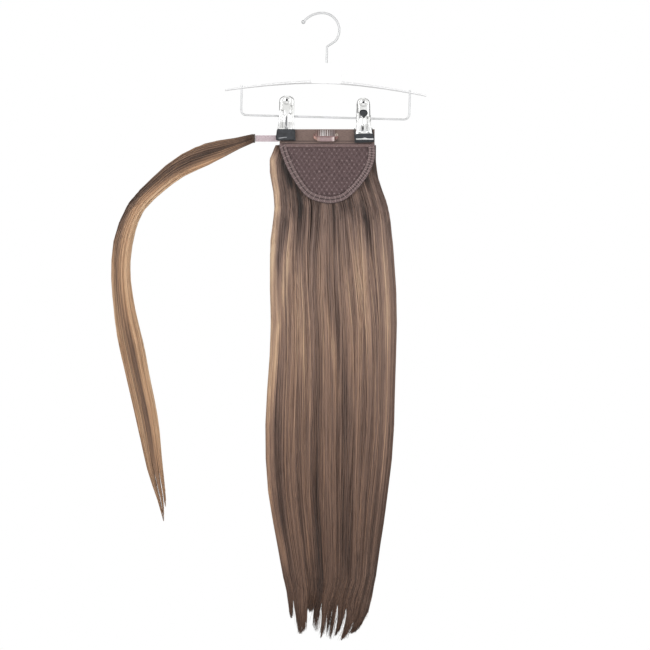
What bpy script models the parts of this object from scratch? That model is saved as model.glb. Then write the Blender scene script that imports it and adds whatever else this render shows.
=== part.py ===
"""A long straight ponytail hairpiece, held by the two clips of a thin wire hanger.

Metres, +Z up, +X to the right of someone who faces the piece, and -Y towards them.
The origin is the inner top of the hanger's hook, where the whole thing hangs.
"""

import math

import bmesh
import bpy
from mathutils import Matrix, Vector

GAP = 0.0003              # between pieces that touch
OVERRUN = 0.004           # how far a cutter runs past what it cuts

# Hanger
HANGER_TILT = math.radians(1.6)
HOOK_WIRE = 0.0024
HOOK_RADIUS = 0.0190
HOOK_BALL = 0.0044
HOOK_NECK = math.radians(-38)       # where the arc leaves for the stem
HOOK_ARC = math.radians(196)        # from the neck round to the ball
HOOK_OPENING = 0.66                 # the share of that arc where the wire begins to open out
HOOK_FLARE = 0.0034                 # how far it has opened out at the ball
HOOK_STEPS = 26
NECK_OFFSET = 0.0060                # of the stem from the hook's centre
NECK_DROP = 0.0180                  # from the hook's centre to the top of the stem
STEM_LENGTH = 0.0391
BAR_LENGTH = 0.2215
BAR_HEIGHT = 0.0032
BAR_TIP_HEIGHT = 0.0016
BAR_DEPTH = 0.0074
BAR_TIP_DEPTH = 0.0040
BAR_DROP = 0.0120                   # of each end below the middle
BAR_CURVE = 1.7
PLATE_WIDTH = 0.0340
PLATE_HEIGHT = 0.0225
PLATE_THICKNESS = 0.0018
PLATE_CORNER = 0.0020
RAIL_WIRE = 0.0021
RAIL_WIDTH = 0.1850
RAIL_DROP = 0.0386                  # from the bar's middle to the rail
RAIL_CORNER = 0.0058
RAIL_END = 0.0010                   # of each upright above the bar

# Hanger clips
CLIP_SPACING = 0.0848
CLIP_LEAN = math.radians(1.4)       # each foot leans outwards
CLIP_RISE = 0.0212                  # above the rail
CLIP_DROP = 0.0268                  # below the rail
ARM_METAL = 0.0009
ARM_SPREAD = 0.0135                 # between the finger tabs' outer faces
ARM_WAIST = 0.0112                  # between the outer faces at the rail
FRONT_ARM_WIDTH = 0.0158
BACK_ARM_WIDTH = 0.0132
ARM_FOOT_WIDTH = 0.0186
EAR_HEIGHT = 0.0066
EAR_CLEARANCE = 0.0006              # round the rail
FINGER_HOLE = 0.0024
FINGER_HOLE_DROP = 0.0042           # from the top of the arm
WINDOW_WIDTH = 0.0084
WINDOW_HEIGHT = 0.0086
WINDOW_ABOVE_RAIL = 0.0006
WINDOW_TAPER = 0.45                 # of the window's foot to its top
SLOT_WIDTH = 0.0014
SLOT_LENGTH = 0.0048
SLOT_DROP = 0.0098                  # from the rail to the slot's top
RIB_WIDTH = 0.0016
RIB_HEIGHT = 0.0006
SPRING_WIRE = 0.0009
SPRING_DIAMETER = 0.0052
SPRING_TURNS = 4
SPRING_STEPS = 6                    # to a turn
PAD_WIDTH = 0.0212
PAD_HEIGHT = 0.0120
BACK_PAD_HEIGHT = 0.0094
PAD_THICKNESS = 0.0036
PAD_SOCKET = 0.0058                 # how deep an arm stands in its pad
PAD_CORNER = 0.0010

# Band, snap comb and cap
BAND_WIDTH = 0.1045
BAND_HEIGHT = 0.0166
BAND_THICKNESS = 0.0016
BAND_ABOVE_PADS = 0.0004            # how far the band's top stands over the pads' top
BAND_OFFSET = 0.0022                # of the band's middle from the clips' middle
BAND_RIBS = 5
COMB_WIDTH = 0.0276
COMB_OFFSET = -0.0015
COMB_TEETH = 11
COMB_TOOTH = 0.0068
COMB_TOOTH_WIDTH = 0.0012
COMB_SPINE = 0.0022
COMB_METAL = 0.0009
COMB_TOP = 0.0008                   # below the band's top edge
EYELET = 0.0034
EYELET_HOLE = 0.0014
BOW_WIDTH = 0.0030
BOW_RISE = 0.0016
SLEEVE_LENGTH = 0.0190
SLEEVE_HEIGHT = 0.0050
SLEEVE_WALL = 0.0008
CAP_HALF_WIDTH = 0.0534
CAP_DEPTH = 0.0646
CAP_NET_THICKNESS = 0.0015
CAP_BULGE = 0.0036
BINDING_WIDTH = 0.0076
BINDING_THICKNESS = 0.0018
BINDING_CORD = 0.0024

# Hair
TAIL_LENGTH = 0.5460
TAIL_HALF_WIDTH = 0.0723
TAIL_THICKNESS = 0.0270
TAIL_OFFSET = 0.0047                # of the tail's middle from the cap's middle
TAIL_LOCKS = 13                     # across the front, and as many across the back
TAIL_LOCK_RELIEF = 0.0013
TAIL_LOCK_SWAY = 0.0035
TIP_LOCK_WIDTH = 0.0210
TIP_LOCK_THICKNESS = 0.0085
STRAND_OUT = 0.1445
STRAND_DROP = 0.4210
STRAND_WIDTH = 0.0260
STRAND_THICKNESS = 0.0110
STRAND_RELIEF = 0.0007
TAPE_LENGTH = 0.0264
TAPE_HEIGHT = 0.0070
TAPE_THICKNESS = 0.0014
TAPE_DROP = 0.0066                  # of the tape's top edge below the band's
CUFF_LENGTH = 0.0042
CUFF_HEIGHT = 0.0100
CUFF_THICKNESS = 0.0046

# Cap outline: drop as a share of CAP_DEPTH, left and right as shares of CAP_HALF_WIDTH.
CAP_ROWS = (
    # drop, left, right
    (0.000, 0.985, 0.990),
    (0.110, 0.952, 1.000),
    (0.250, 0.893, 0.985),
    (0.390, 0.820, 0.930),
    (0.530, 0.735, 0.845),
    (0.665, 0.632, 0.725),
    (0.785, 0.530, 0.600),
    (0.885, 0.415, 0.465),
    (0.955, 0.265, 0.350),
    (1.000, -0.010, 0.130),
)

# Tail beside the cap, with drop as a share of CAP_DEPTH, and below it, with drop as a share of
# the rest of TAIL_LENGTH. Left and right are shares of TAIL_HALF_WIDTH; front and back are
# shares of TAIL_THICKNESS from the back of the cap.
TAIL_BESIDE_CAP = (
    # drop, left, right, front, back
    (0.00, 0.837, 0.677, 0.000, 0.300),
    (0.20, 0.924, 0.672, 0.000, 0.560),
    (0.43, 0.930, 0.675, 0.000, 0.700),
    (0.72, 0.880, 0.755, 0.000, 0.780),
    (1.00, 0.848, 0.850, 0.000, 0.820),
)
TAIL_BELOW_CAP = (
    # drop, left, right, front, back
    (0.029, 0.863, 0.890, 0.130, 0.830),
    (0.080, 0.915, 0.930, 0.170, 0.830),
    (0.136, 0.925, 0.957, 0.185, 0.815),
    (0.205, 0.922, 0.988, 0.185, 0.790),
    (0.278, 0.905, 0.995, 0.180, 0.760),
    (0.353, 0.928, 0.981, 0.170, 0.720),
    (0.432, 0.967, 0.963, 0.160, 0.680),
    (0.511, 0.993, 0.951, 0.150, 0.630),
    (0.591, 0.986, 0.914, 0.140, 0.570),
    (0.659, 0.950, 0.856, 0.125, 0.500),
    (0.728, 0.875, 0.796, 0.110, 0.420),
    (0.795, 0.790, 0.724, 0.095, 0.340),
    (0.851, 0.726, 0.676, 0.080, 0.260),
    (0.893, 0.655, 0.620, 0.065, 0.190),
)

# Tip locks: drops as shares of the tail below the cap, places across as shares of
# TAIL_HALF_WIDTH, depth of TAIL_THICKNESS and width of TIP_LOCK_WIDTH.
TIP_LOCKS = (
    # start_drop, start_x, tip_drop, tip_x, width, depth
    (0.760, -0.660, 0.952, -0.600, 0.80, 0.07),
    (0.770, -0.500, 0.986, -0.430, 0.90, 0.12),
    (0.780, -0.360, 0.925, -0.330, 0.85, 0.03),
    (0.790, -0.200, 0.991, -0.200, 1.00, 0.14),
    (0.770, -0.070, 0.963, -0.120, 0.90, 0.03),
    (0.790, 0.060, 1.000, -0.040, 1.00, 0.11),
    (0.780, 0.200, 0.996, 0.090, 0.95, 0.03),
    (0.790, 0.330, 0.993, 0.210, 0.90, 0.12),
    (0.770, 0.440, 0.970, 0.400, 0.90, 0.06),
    (0.760, 0.540, 0.936, 0.510, 0.80, 0.11),
    (0.750, 0.600, 0.913, 0.600, 0.70, 0.05),
)

# Wrap strand: out as a share of STRAND_OUT, down of STRAND_DROP, width of STRAND_WIDTH and
# thickness of STRAND_THICKNESS.
STRAND_ROWS = (
    # out, down, width, thickness
    (0.000, 0.000, 0.34, 0.42),
    (0.142, 0.016, 0.50, 0.62),
    (0.287, 0.033, 0.80, 0.92),
    (0.432, 0.054, 0.88, 1.00),
    (0.578, 0.082, 0.79, 1.00),
    (0.724, 0.123, 0.72, 1.00),
    (0.840, 0.160, 0.68, 0.96),
    (0.913, 0.196, 0.68, 0.92),
    (0.975, 0.258, 0.76, 0.90),
    (1.000, 0.324, 0.75, 0.90),
    (0.994, 0.391, 0.79, 0.90),
    (0.958, 0.479, 0.91, 0.88),
    (0.922, 0.536, 1.00, 0.86),
    (0.887, 0.594, 0.95, 0.82),
    (0.852, 0.651, 0.91, 0.78),
    (0.815, 0.709, 0.89, 0.74),
    (0.785, 0.766, 0.84, 0.68),
    (0.760, 0.824, 0.76, 0.60),
    (0.733, 0.881, 0.66, 0.50),
    (0.700, 0.930, 0.48, 0.38),
    (0.682, 0.965, 0.30, 0.26),
    (0.674, 1.000, 0.05, 0.08),
)


# Places that follow from the sizes
def hung(x, z):
    """The world place of a point of the tilted hanger."""
    return Matrix.Rotation(HANGER_TILT, 3, "Y") @ Vector((x, 0.0, z))


HOOK_CENTRE_Z = HOOK_WIRE / 2 - HOOK_RADIUS
STEM_TOP_Z = HOOK_CENTRE_Z - NECK_DROP
BAR_Z = STEM_TOP_Z - STEM_LENGTH
RAIL_Z = BAR_Z - RAIL_DROP
CLIP_PLACES = {
    "left": hung(NECK_OFFSET - CLIP_SPACING / 2, RAIL_Z),
    "right": hung(NECK_OFFSET + CLIP_SPACING / 2, RAIL_Z),
}
PAD_TOP_Z = CLIP_PLACES["left"].z - CLIP_DROP + PAD_HEIGHT
CLIPS_MIDDLE_X = (CLIP_PLACES["left"].x + CLIP_PLACES["right"].x) / 2
BAND_X = CLIPS_MIDDLE_X + BAND_OFFSET
BAND_TOP_Z = PAD_TOP_Z + BAND_ABOVE_PADS
BAND_BOTTOM_Z = BAND_TOP_Z - BAND_HEIGHT
BAND_LEFT_X = BAND_X - BAND_WIDTH / 2
CAP_X = BAND_X - GAP
CAP_TOP_Z = BAND_BOTTOM_Z - GAP
TAIL_X = CAP_X + TAIL_OFFSET
TAIL_TOP_Z = CAP_TOP_Z
TAPE_RIGHT_X = BAND_LEFT_X - GAP
TAPE_TOP_Z = BAND_TOP_Z - TAPE_DROP
CUFF_RIGHT_X = TAPE_RIGHT_X - TAPE_LENGTH - GAP
CUFF_Z = TAPE_TOP_Z - TAPE_HEIGHT / 2
STRAND_ROOT = Vector((CUFF_RIGHT_X - CUFF_LENGTH - GAP, 0.0, CUFF_Z))
CLIP_FACE_Y = BAND_THICKNESS / 2 + GAP
CAP_BACK_Y = BINDING_THICKNESS / 2 + GAP
PLATE_FACE_Y = -BAR_DEPTH / 2 - GAP


# Materials
def material(name, colour, roughness, metallic=0.0):
    made = bpy.data.materials.new(name)
    made.use_nodes = True
    shader = made.node_tree.nodes["Principled BSDF"]
    shader.inputs["Base Color"].default_value = (*colour, 1.0)
    shader.inputs["Roughness"].default_value = roughness
    shader.inputs["Metallic"].default_value = metallic
    return made


for old in list(bpy.data.objects):
    bpy.data.objects.remove(old, do_unlink=True)

CHROME = material("chromed steel wire", (0.55, 0.56, 0.57), 0.15, 1.0)
NICKEL = material("nickelled spring steel", (0.60, 0.61, 0.62), 0.22, 1.0)
WHITE = material("white coated metal", (0.86, 0.86, 0.86), 0.35)
RUBBER = material("black rubber", (0.035, 0.037, 0.040), 0.45)
RIBBON = material("brown grosgrain ribbon", (0.20, 0.15, 0.13), 0.80)
SILICONE = material("pink silicone tube", (0.46, 0.34, 0.35), 0.40)
NET = material("brown net", (0.13, 0.09, 0.09), 0.75)
BINDING = material("brown corded tape", (0.17, 0.13, 0.12), 0.75)
HAIR = material("brown hair", (0.19, 0.13, 0.10), 0.42)
LIGHT_HAIR = material("caramel hair", (0.38, 0.25, 0.16), 0.42)
TAPE = material("lilac hook and loop tape", (0.52, 0.43, 0.45), 0.85)


# Ways of making a solid
def add_object(name, mesh, finish):
    obj = bpy.data.objects.new(name, mesh)
    bpy.context.scene.collection.objects.link(obj)
    mesh.materials.clear()
    mesh.materials.append(finish)
    return obj


def from_bmesh(name, shape, finish):
    """An object of the shape, with its faces turned out and its round parts shaded smooth."""
    bmesh.ops.recalc_face_normals(shape, faces=shape.faces)
    mesh = bpy.data.meshes.new(name)
    shape.to_mesh(mesh)
    shape.free()
    mesh.shade_smooth()
    mesh.set_sharp_from_angle(angle=math.radians(35))
    return add_object(name, mesh, finish)


def skin(name, rings, finish):
    """A closed solid through rings of equally many points, with a flat cap on each end."""
    shape = bmesh.new()
    loops = [[shape.verts.new(point) for point in ring] for ring in rings]
    for lower, upper in zip(loops, loops[1:]):
        for i in range(len(lower)):
            j = (i + 1) % len(lower)
            shape.faces.new((lower[i], lower[j], upper[j], upper[i]))
    shape.faces.new(loops[0])
    shape.faces.new(loops[-1])
    return from_bmesh(name, shape, finish)


def prism(name, outline, start, run, finish):
    """An outline of (x, y, z) points, moved to start and extruded along run."""
    first = [Vector(point) + Vector(start) for point in outline]
    return skin(name, [first, [point + Vector(run) for point in first]], finish)


def block(name, low, high, finish):
    """A box between two corners."""
    corners = [(low[0], low[1]), (high[0], low[1]), (high[0], high[1]), (low[0], high[1])]
    outline = [(x, y, low[2]) for x, y in corners]
    return prism(name, outline, (0, 0, 0), (0, 0, high[2] - low[2]), finish)


def rounded(width, height, corner, foot_share=1.0, steps=3):
    """A rounded rectangle in the XZ plane round its middle, narrower at the top by foot_share."""
    points = []
    for right, up, turn in ((1, 1, 0), (-1, 1, 90), (-1, -1, 180), (1, -1, 270)):
        half = width / 2 * (foot_share if up > 0 else 1.0)
        for step in range(steps + 1):
            angle = math.radians(turn + 90 * step / steps)
            x = right * (half - corner) + corner * math.cos(angle)
            z = up * (height / 2 - corner) + corner * math.sin(angle)
            points.append((x, 0.0, z))
    return points


def tube(name, points, wire, resolution, finish):
    """A round wire through the points, as a mesh."""
    curve = bpy.data.curves.new(name, "CURVE")
    curve.dimensions = "3D"
    curve.bevel_depth = wire / 2
    curve.bevel_resolution = resolution
    curve.use_fill_caps = True
    spline = curve.splines.new("POLY")
    spline.points.add(len(points) - 1)
    for spot, point in zip(spline.points, points):
        spot.co = (*point, 1.0)
    guide = bpy.data.objects.new(name, curve)
    bpy.context.scene.collection.objects.link(guide)
    bpy.context.view_layer.update()
    graph = bpy.context.evaluated_depsgraph_get()
    shape = bmesh.new()
    shape.from_mesh(guide.evaluated_get(graph).to_mesh())
    bpy.data.objects.remove(guide, do_unlink=True)
    bpy.data.curves.remove(curve)
    bmesh.ops.remove_doubles(shape, verts=shape.verts, dist=1e-6)
    return from_bmesh(name, shape, finish)


def rod(name, start, run, diameter, sides, finish):
    """A round rod from start along run."""
    across = Vector(run).orthogonal().normalized() * diameter / 2
    turns = [Matrix.Rotation(math.tau * i / sides, 3, run) for i in range(sides)]
    return prism(name, [turn @ across for turn in turns], start, run, finish)


def combine(target, tool, operation, solver="EXACT"):
    """Applies a Boolean of the tool to the target, and removes the tool."""
    modifier = target.modifiers.new(operation.title(), "BOOLEAN")
    modifier.operation = operation
    modifier.solver = solver
    modifier.object = tool
    bpy.context.view_layer.objects.active = target
    bpy.ops.object.modifier_apply(modifier=modifier.name)
    bpy.data.objects.remove(tool, do_unlink=True)


def carry(parent, *pieces):
    for piece in pieces:
        piece.parent = parent


def add_empty(name, place, turn):
    empty = bpy.data.objects.new(name, None)
    bpy.context.scene.collection.objects.link(empty)
    empty.location = place
    empty.rotation_euler = turn
    return empty


def smooth_rows(rows, count):
    """The table's rows, as count rows at equal steps along a smooth curve through them."""
    made = []
    last = len(rows) - 1
    for step in range(count):
        at = step * last / (count - 1)
        i = min(int(at), last - 1)
        t = at - i
        near = [rows[min(max(k, 0), last)] for k in (i - 1, i, i + 1, i + 2)]
        made.append(tuple(
            b + t / 2 * (c - a + t * (2 * a - 5 * b + 4 * c - d + t * (3 * (b - c) + d - a)))
            for a, b, c, d in zip(*near)
        ))
    return made


# Hanger
def hook_path():
    """Points down the hook's centreline, from the ball round to the foot of the stem."""
    points = []
    for step in range(HOOK_STEPS + 1):
        swept = 1 - step / HOOK_STEPS
        angle = HOOK_NECK + HOOK_ARC * swept
        opened = max(0.0, (swept - HOOK_OPENING) / (1 - HOOK_OPENING))
        radius = HOOK_RADIUS + HOOK_FLARE * opened**2
        points.append((radius * math.cos(angle), 0.0, HOOK_CENTRE_Z + radius * math.sin(angle)))
    points.append((NECK_OFFSET, 0.0, STEM_TOP_Z))
    points.append((NECK_OFFSET, 0.0, BAR_Z - BAR_HEIGHT / 2))
    return points


def make_hook(finish):
    path = hook_path()
    hook = tube("hanger_hook", path, HOOK_WIRE, 3, finish)
    shape = bmesh.new()
    bmesh.ops.create_uvsphere(shape, u_segments=12, v_segments=8, radius=HOOK_BALL / 2)
    bmesh.ops.translate(shape, verts=shape.verts, vec=path[0])
    combine(hook, from_bmesh("ball", shape, finish), "UNION")
    return hook


def bar_share(x):
    return min(abs(x - NECK_OFFSET) / (BAR_LENGTH / 2), 1.0)


def bar_z(x):
    return BAR_Z - BAR_DROP * bar_share(x) ** BAR_CURVE


def bar_ring(x):
    share = bar_share(x)
    height = BAR_HEIGHT + (BAR_TIP_HEIGHT - BAR_HEIGHT) * share**2
    depth = BAR_DEPTH + (BAR_TIP_DEPTH - BAR_DEPTH) * share**2
    return [
        (x, depth / 2 * math.cos(angle), bar_z(x) + height / 2 * math.sin(angle))
        for angle in (math.tau * (i + 0.5) / 8 for i in range(8))
    ]


def make_bar(finish):
    steps = 20
    places = [NECK_OFFSET + BAR_LENGTH * (i / steps - 0.5) for i in range(steps + 1)]
    bar = skin("hanger_bar", [bar_ring(x) for x in places], finish)
    outline = rounded(PLATE_WIDTH, PLATE_HEIGHT, PLATE_CORNER)
    plate_z = BAR_Z - BAR_HEIGHT / 2 - GAP + PLATE_HEIGHT / 2
    plate = prism(
        "plate", outline, (NECK_OFFSET, PLATE_FACE_Y, plate_z), (0, PLATE_THICKNESS, 0), finish
    )
    combine(bar, plate, "UNION")
    stem_bore = HOOK_WIRE + 2 * GAP
    bore_run = (0, 0, BAR_HEIGHT + 2 * OVERRUN)
    start = (NECK_OFFSET, 0, BAR_Z - BAR_HEIGHT / 2 - OVERRUN)
    combine(bar, rod("bore", start, bore_run, stem_bore, 12, finish), "DIFFERENCE")
    for side in (-1, 1):
        x = NECK_OFFSET + side * RAIL_WIDTH / 2
        start = (x, 0, bar_z(x) - BAR_HEIGHT / 2 - OVERRUN)
        bore = rod("bore", start, bore_run, RAIL_WIRE + 2 * GAP, 12, finish)
        combine(bar, bore, "DIFFERENCE")
    return bar


def make_rail(finish):
    half = RAIL_WIDTH / 2
    top = bar_z(NECK_OFFSET + half) + BAR_HEIGHT / 2 + RAIL_END
    left = [(-half, top)]
    for step in range(5):
        angle = math.pi / 2 * step / 4
        x = -half + RAIL_CORNER * (1 - math.cos(angle))
        left.append((x, RAIL_Z + RAIL_CORNER * (1 - math.sin(angle))))
    both = left + [(-x, z) for x, z in reversed(left)]
    return tube("hanger_rail", [(NECK_OFFSET + x, 0.0, z) for x, z in both], RAIL_WIRE, 2, finish)


hanger = add_empty("hanger", (0, 0, 0), (0, HANGER_TILT, 0))
carry(hanger, make_hook(CHROME), make_bar(WHITE), make_rail(CHROME))


# Clips, made round the rail with the front arm towards -Y
FOOT_Y = CLIP_FACE_Y + PAD_THICKNESS / 2


def make_arm(name, side, width, pad_height, finish):
    """A sprung arm: side is -1 for the front one, 1 for the back one."""
    tab_y = ARM_SPREAD / 2 - ARM_METAL / 2
    waist_y = ARM_WAIST / 2 - ARM_METAL / 2
    pad_top = -CLIP_DROP + pad_height
    foot = pad_top - PAD_SOCKET
    shoulder = -EAR_HEIGHT
    rows = (
        # z, y, width
        (CLIP_RISE, tab_y, width * 0.42),
        (CLIP_RISE - 0.0007, tab_y, width * 0.68),
        (CLIP_RISE - 0.0022, tab_y, width * 0.90),
        (CLIP_RISE - 0.0048, tab_y, width),
        (EAR_HEIGHT, waist_y, width),
        (shoulder, waist_y, width),
        ((shoulder + pad_top) / 2, (waist_y + FOOT_Y) / 2, (width + ARM_FOOT_WIDTH) / 2),
        (pad_top, FOOT_Y, ARM_FOOT_WIDTH),
        (foot, FOOT_Y, ARM_FOOT_WIDTH),
    )
    rings = []
    for z, y, across in rows:
        outer, inner = side * (y + ARM_METAL / 2), side * (y - ARM_METAL / 2)
        half = across / 2
        rings.append([(-half, outer, z), (half, outer, z), (half, inner, z), (-half, inner, z)])
    arm = skin(name, rings, finish)
    for hand in (-1, 1):
        combine(arm, ear(side, hand * (width - ARM_METAL) / 2, waist_y, finish), "UNION")
    bore = RAIL_WIRE + 2 * EAR_CLEARANCE
    start = (-width / 2 - OVERRUN, 0, 0)
    through = rod("bore", start, (width + 2 * OVERRUN, 0, 0), bore, 12, finish)
    combine(arm, through, "DIFFERENCE")
    hole_start = (0, side * (tab_y + OVERRUN), CLIP_RISE - FINGER_HOLE_DROP)
    hole = rod("hole", hole_start, (0, -2 * side * OVERRUN, 0), FINGER_HOLE, 10, finish)
    combine(arm, hole, "DIFFERENCE")
    return arm


def ear(side, x, waist_y, finish):
    """A side flange with a round end past the rail."""
    radius = EAR_HEIGHT / 2
    outline = [(0, side * waist_y, radius), (0, side * waist_y, -radius)]
    for step in range(7):
        angle = -math.pi / 2 + math.pi * step / 6
        outline.append((0, -side * radius * math.cos(angle), radius * math.sin(angle)))
    return prism("ear", outline, (x - ARM_METAL / 2, 0, 0), (ARM_METAL, 0, 0), finish)


def add_rib(arm, side, x, top, bottom, finish):
    """A pressed rib on the upright stretch of an arm beside the rail."""
    face = side * ARM_WAIST / 2
    low = (x - RIB_WIDTH / 2, min(face - side * ARM_METAL / 2, face + side * RIB_HEIGHT), bottom)
    high = (x + RIB_WIDTH / 2, max(face - side * ARM_METAL / 2, face + side * RIB_HEIGHT), top)
    combine(arm, block("rib", low, high, finish), "UNION")


def cut_window(arm, side, finish):
    top = WINDOW_ABOVE_RAIL + WINDOW_HEIGHT
    half, foot = WINDOW_WIDTH / 2, WINDOW_WIDTH / 2 * WINDOW_TAPER
    outline = [(-half, 0, top), (half, 0, top), (foot, 0, WINDOW_ABOVE_RAIL), (-foot, 0, WINDOW_ABOVE_RAIL)]
    start = (0, side * (ARM_SPREAD / 2 + OVERRUN), 0)
    run = (0, -side * (ARM_SPREAD / 2 - ARM_WAIST / 2 + ARM_METAL + 2 * OVERRUN), 0)
    combine(arm, prism("window", outline, start, run, finish), "DIFFERENCE")


def cut_slot(arm, side, finish):
    start = (0, side * (ARM_WAIST / 2 + OVERRUN), -SLOT_DROP - SLOT_LENGTH / 2)
    run = (0, -side * (ARM_METAL + 2 * OVERRUN), 0)
    outline = rounded(SLOT_WIDTH, SLOT_LENGTH, SLOT_WIDTH * 0.49)
    combine(arm, prism("slot", outline, start, run, finish), "DIFFERENCE")


def make_pad(name, side, height, finish):
    """A rubber shoe with a socket for the arm's foot."""
    outline = rounded(PAD_WIDTH, height, PAD_CORNER, 0.93)
    middle = (0, side * CLIP_FACE_Y, -CLIP_DROP + height / 2)
    pad = prism(name, outline, middle, (0, side * PAD_THICKNESS, 0), finish)
    half = (ARM_FOOT_WIDTH / 2 + GAP, ARM_METAL / 2 + GAP)
    top = -CLIP_DROP + height
    low = (-half[0], side * FOOT_Y - half[1], top - PAD_SOCKET - GAP)
    high = (half[0], side * FOOT_Y + half[1], top + OVERRUN)
    combine(pad, block("socket", low, high, finish), "DIFFERENCE")
    return pad


def make_spring(name, finish):
    """A coil round the rail, whose legs reach up behind the two arms."""
    radius = (SPRING_DIAMETER - SPRING_WIRE) / 2
    leg_z = EAR_HEIGHT
    leg_y = ARM_WAIST / 2 - ARM_METAL - GAP - SPRING_WIRE / 2
    length = SPRING_TURNS * (SPRING_WIRE + GAP)
    steps = SPRING_TURNS * SPRING_STEPS + SPRING_STEPS // 2
    points = [(-length / 2, leg_y, leg_z)]
    for step in range(steps + 1):
        angle = -math.tau * step / SPRING_STEPS
        x = length * (step / steps - 0.5)
        points.append((x, radius * math.cos(angle), radius * math.sin(angle)))
    points.append((length / 2, -leg_y, leg_z))
    return tube(name, points, SPRING_WIRE, 1, finish)


def make_clip(side_name, facing):
    place = CLIP_PLACES[side_name]
    lean = CLIP_LEAN if side_name == "left" else -CLIP_LEAN
    holder = add_empty(side_name + "_clip", place, (0, lean, 0))
    turned = add_empty(side_name + "_clip_facing", (0, 0, 0), (0, 0, facing))
    turned.parent = holder
    front = make_arm(side_name + "_clip_front_arm", -1, FRONT_ARM_WIDTH, PAD_HEIGHT, NICKEL)
    add_rib(front, -1, 0, EAR_HEIGHT, -EAR_HEIGHT, NICKEL)
    back = make_arm(side_name + "_clip_back_arm", 1, BACK_ARM_WIDTH, BACK_PAD_HEIGHT, NICKEL)
    for x in (-1, 1):
        rib_x = x * (WINDOW_WIDTH + RIB_WIDTH) / 2
        add_rib(back, 1, rib_x, EAR_HEIGHT, -EAR_HEIGHT, NICKEL)
    cut_window(back, 1, NICKEL)
    cut_slot(back, 1, NICKEL)
    pads = [
        make_pad(side_name + "_clip_front_pad", -1, PAD_HEIGHT, RUBBER),
        make_pad(side_name + "_clip_back_pad", 1, BACK_PAD_HEIGHT, RUBBER),
    ]
    carry(turned, front, back, make_spring(side_name + "_clip_spring", NICKEL), *pads)


make_clip("left", 0)
make_clip("right", math.pi)


# Band
def make_band(finish):
    """The ribbon, with low ribs along it."""
    steps = 2 * BAND_RIBS
    front = []
    for step in range(steps + 1):
        z = BAND_TOP_Z - BAND_HEIGHT * step / steps
        dip = BAND_THICKNESS * 0.15 * (step % 2 == 0)
        front.append((-BAND_THICKNESS / 2 + dip, z))
    back = [(-y, z) for y, z in reversed(front)]
    outline = [(BAND_LEFT_X, y, z) for y, z in front + back]
    return prism("top_band", outline, (0, 0, 0), (BAND_WIDTH, 0, 0), finish)


make_band(RIBBON)


# Snap comb, lying on the front of the band
COMB_X = BAND_X + COMB_OFFSET
COMB_BACK_Y = -BAND_THICKNESS / 2 - GAP
COMB_FRONT_Y = COMB_BACK_Y - COMB_METAL
COMB_TOP_Z = BAND_TOP_Z - COMB_TOP
SPINE_TOP_Z = COMB_TOP_Z - COMB_TOOTH
BOW_Z = SPINE_TOP_Z - COMB_SPINE - BOW_RISE


def make_comb(finish):
    half = COMB_WIDTH / 2
    low = (COMB_X - half, COMB_FRONT_Y, SPINE_TOP_Z - COMB_SPINE)
    comb = block("snap_comb", low, (COMB_X + half, COMB_BACK_Y, SPINE_TOP_Z), finish)
    reach = half - EYELET - COMB_TOOTH_WIDTH / 2
    for tooth in range(COMB_TEETH):
        x = COMB_X + reach * (2 * tooth / (COMB_TEETH - 1) - 1)
        wide, fine = COMB_TOOTH_WIDTH / 2, COMB_TOOTH_WIDTH / 4
        foot = SPINE_TOP_Z - COMB_SPINE / 2
        corners = [(x - wide, foot), (x + wide, foot), (x + fine, COMB_TOP_Z), (x - fine, COMB_TOP_Z)]
        outline = [(across, 0, up) for across, up in corners]
        tool = prism("tooth", outline, (0, COMB_BACK_Y, 0), (0, -COMB_METAL, 0), finish)
        combine(comb, tool, "UNION")
    for side in (-1, 1):
        x = COMB_X + side * (half - EYELET / 2)
        z = SPINE_TOP_Z + EYELET / 3
        disc = rod("eyelet", (x, COMB_BACK_Y, z), (0, -COMB_METAL, 0), EYELET, 12, finish)
        combine(comb, disc, "UNION")
        start = (x, COMB_BACK_Y + OVERRUN, z)
        run = (0, -COMB_METAL - 2 * OVERRUN, 0)
        combine(comb, rod("hole", start, run, EYELET_HOLE, 10, finish), "DIFFERENCE")
    return comb


SLEEVE_THICKNESS = COMB_METAL + 2 * GAP + 2 * SLEEVE_WALL
BOW_MIDDLE_Y = COMB_FRONT_Y - GAP - SLEEVE_THICKNESS / 2


def bow_points(reach, steps):
    """The bow's middle line: (x, y, z) from one end to the other, out to reach either side."""
    end_y = COMB_FRONT_Y - GAP - COMB_METAL / 2
    end_z = SPINE_TOP_Z - COMB_SPINE / 2
    half = COMB_WIDTH / 2 - EYELET / 4
    points = []
    for step in range(steps + 1):
        x = reach * (2 * step / steps - 1)
        bend = min(abs(x) / half, 1.0) ** 6
        y = BOW_MIDDLE_Y + (end_y - BOW_MIDDLE_Y) * bend
        points.append((COMB_X + x, y, BOW_Z + (end_z - BOW_Z) * bend))
    return points


def strip_ring(point, height, thickness, sides=4):
    x, y, z = point
    return [
        (x, y + thickness / 2 * math.cos(angle), z + height / 2 * math.sin(angle))
        for angle in (math.tau * i / sides for i in range(sides))
    ]


def make_bow(finish):
    half = COMB_WIDTH / 2 - EYELET / 4
    rings = []
    for x, y, z in bow_points(half, 14):
        top, bottom = z + BOW_WIDTH / 2, z - BOW_WIDTH / 2
        front, back = y - COMB_METAL / 2, y + COMB_METAL / 2
        rings.append([(x, front, bottom), (x, front, top), (x, back, top), (x, back, bottom)])
    return skin("snap_bow", rings, finish)


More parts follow.
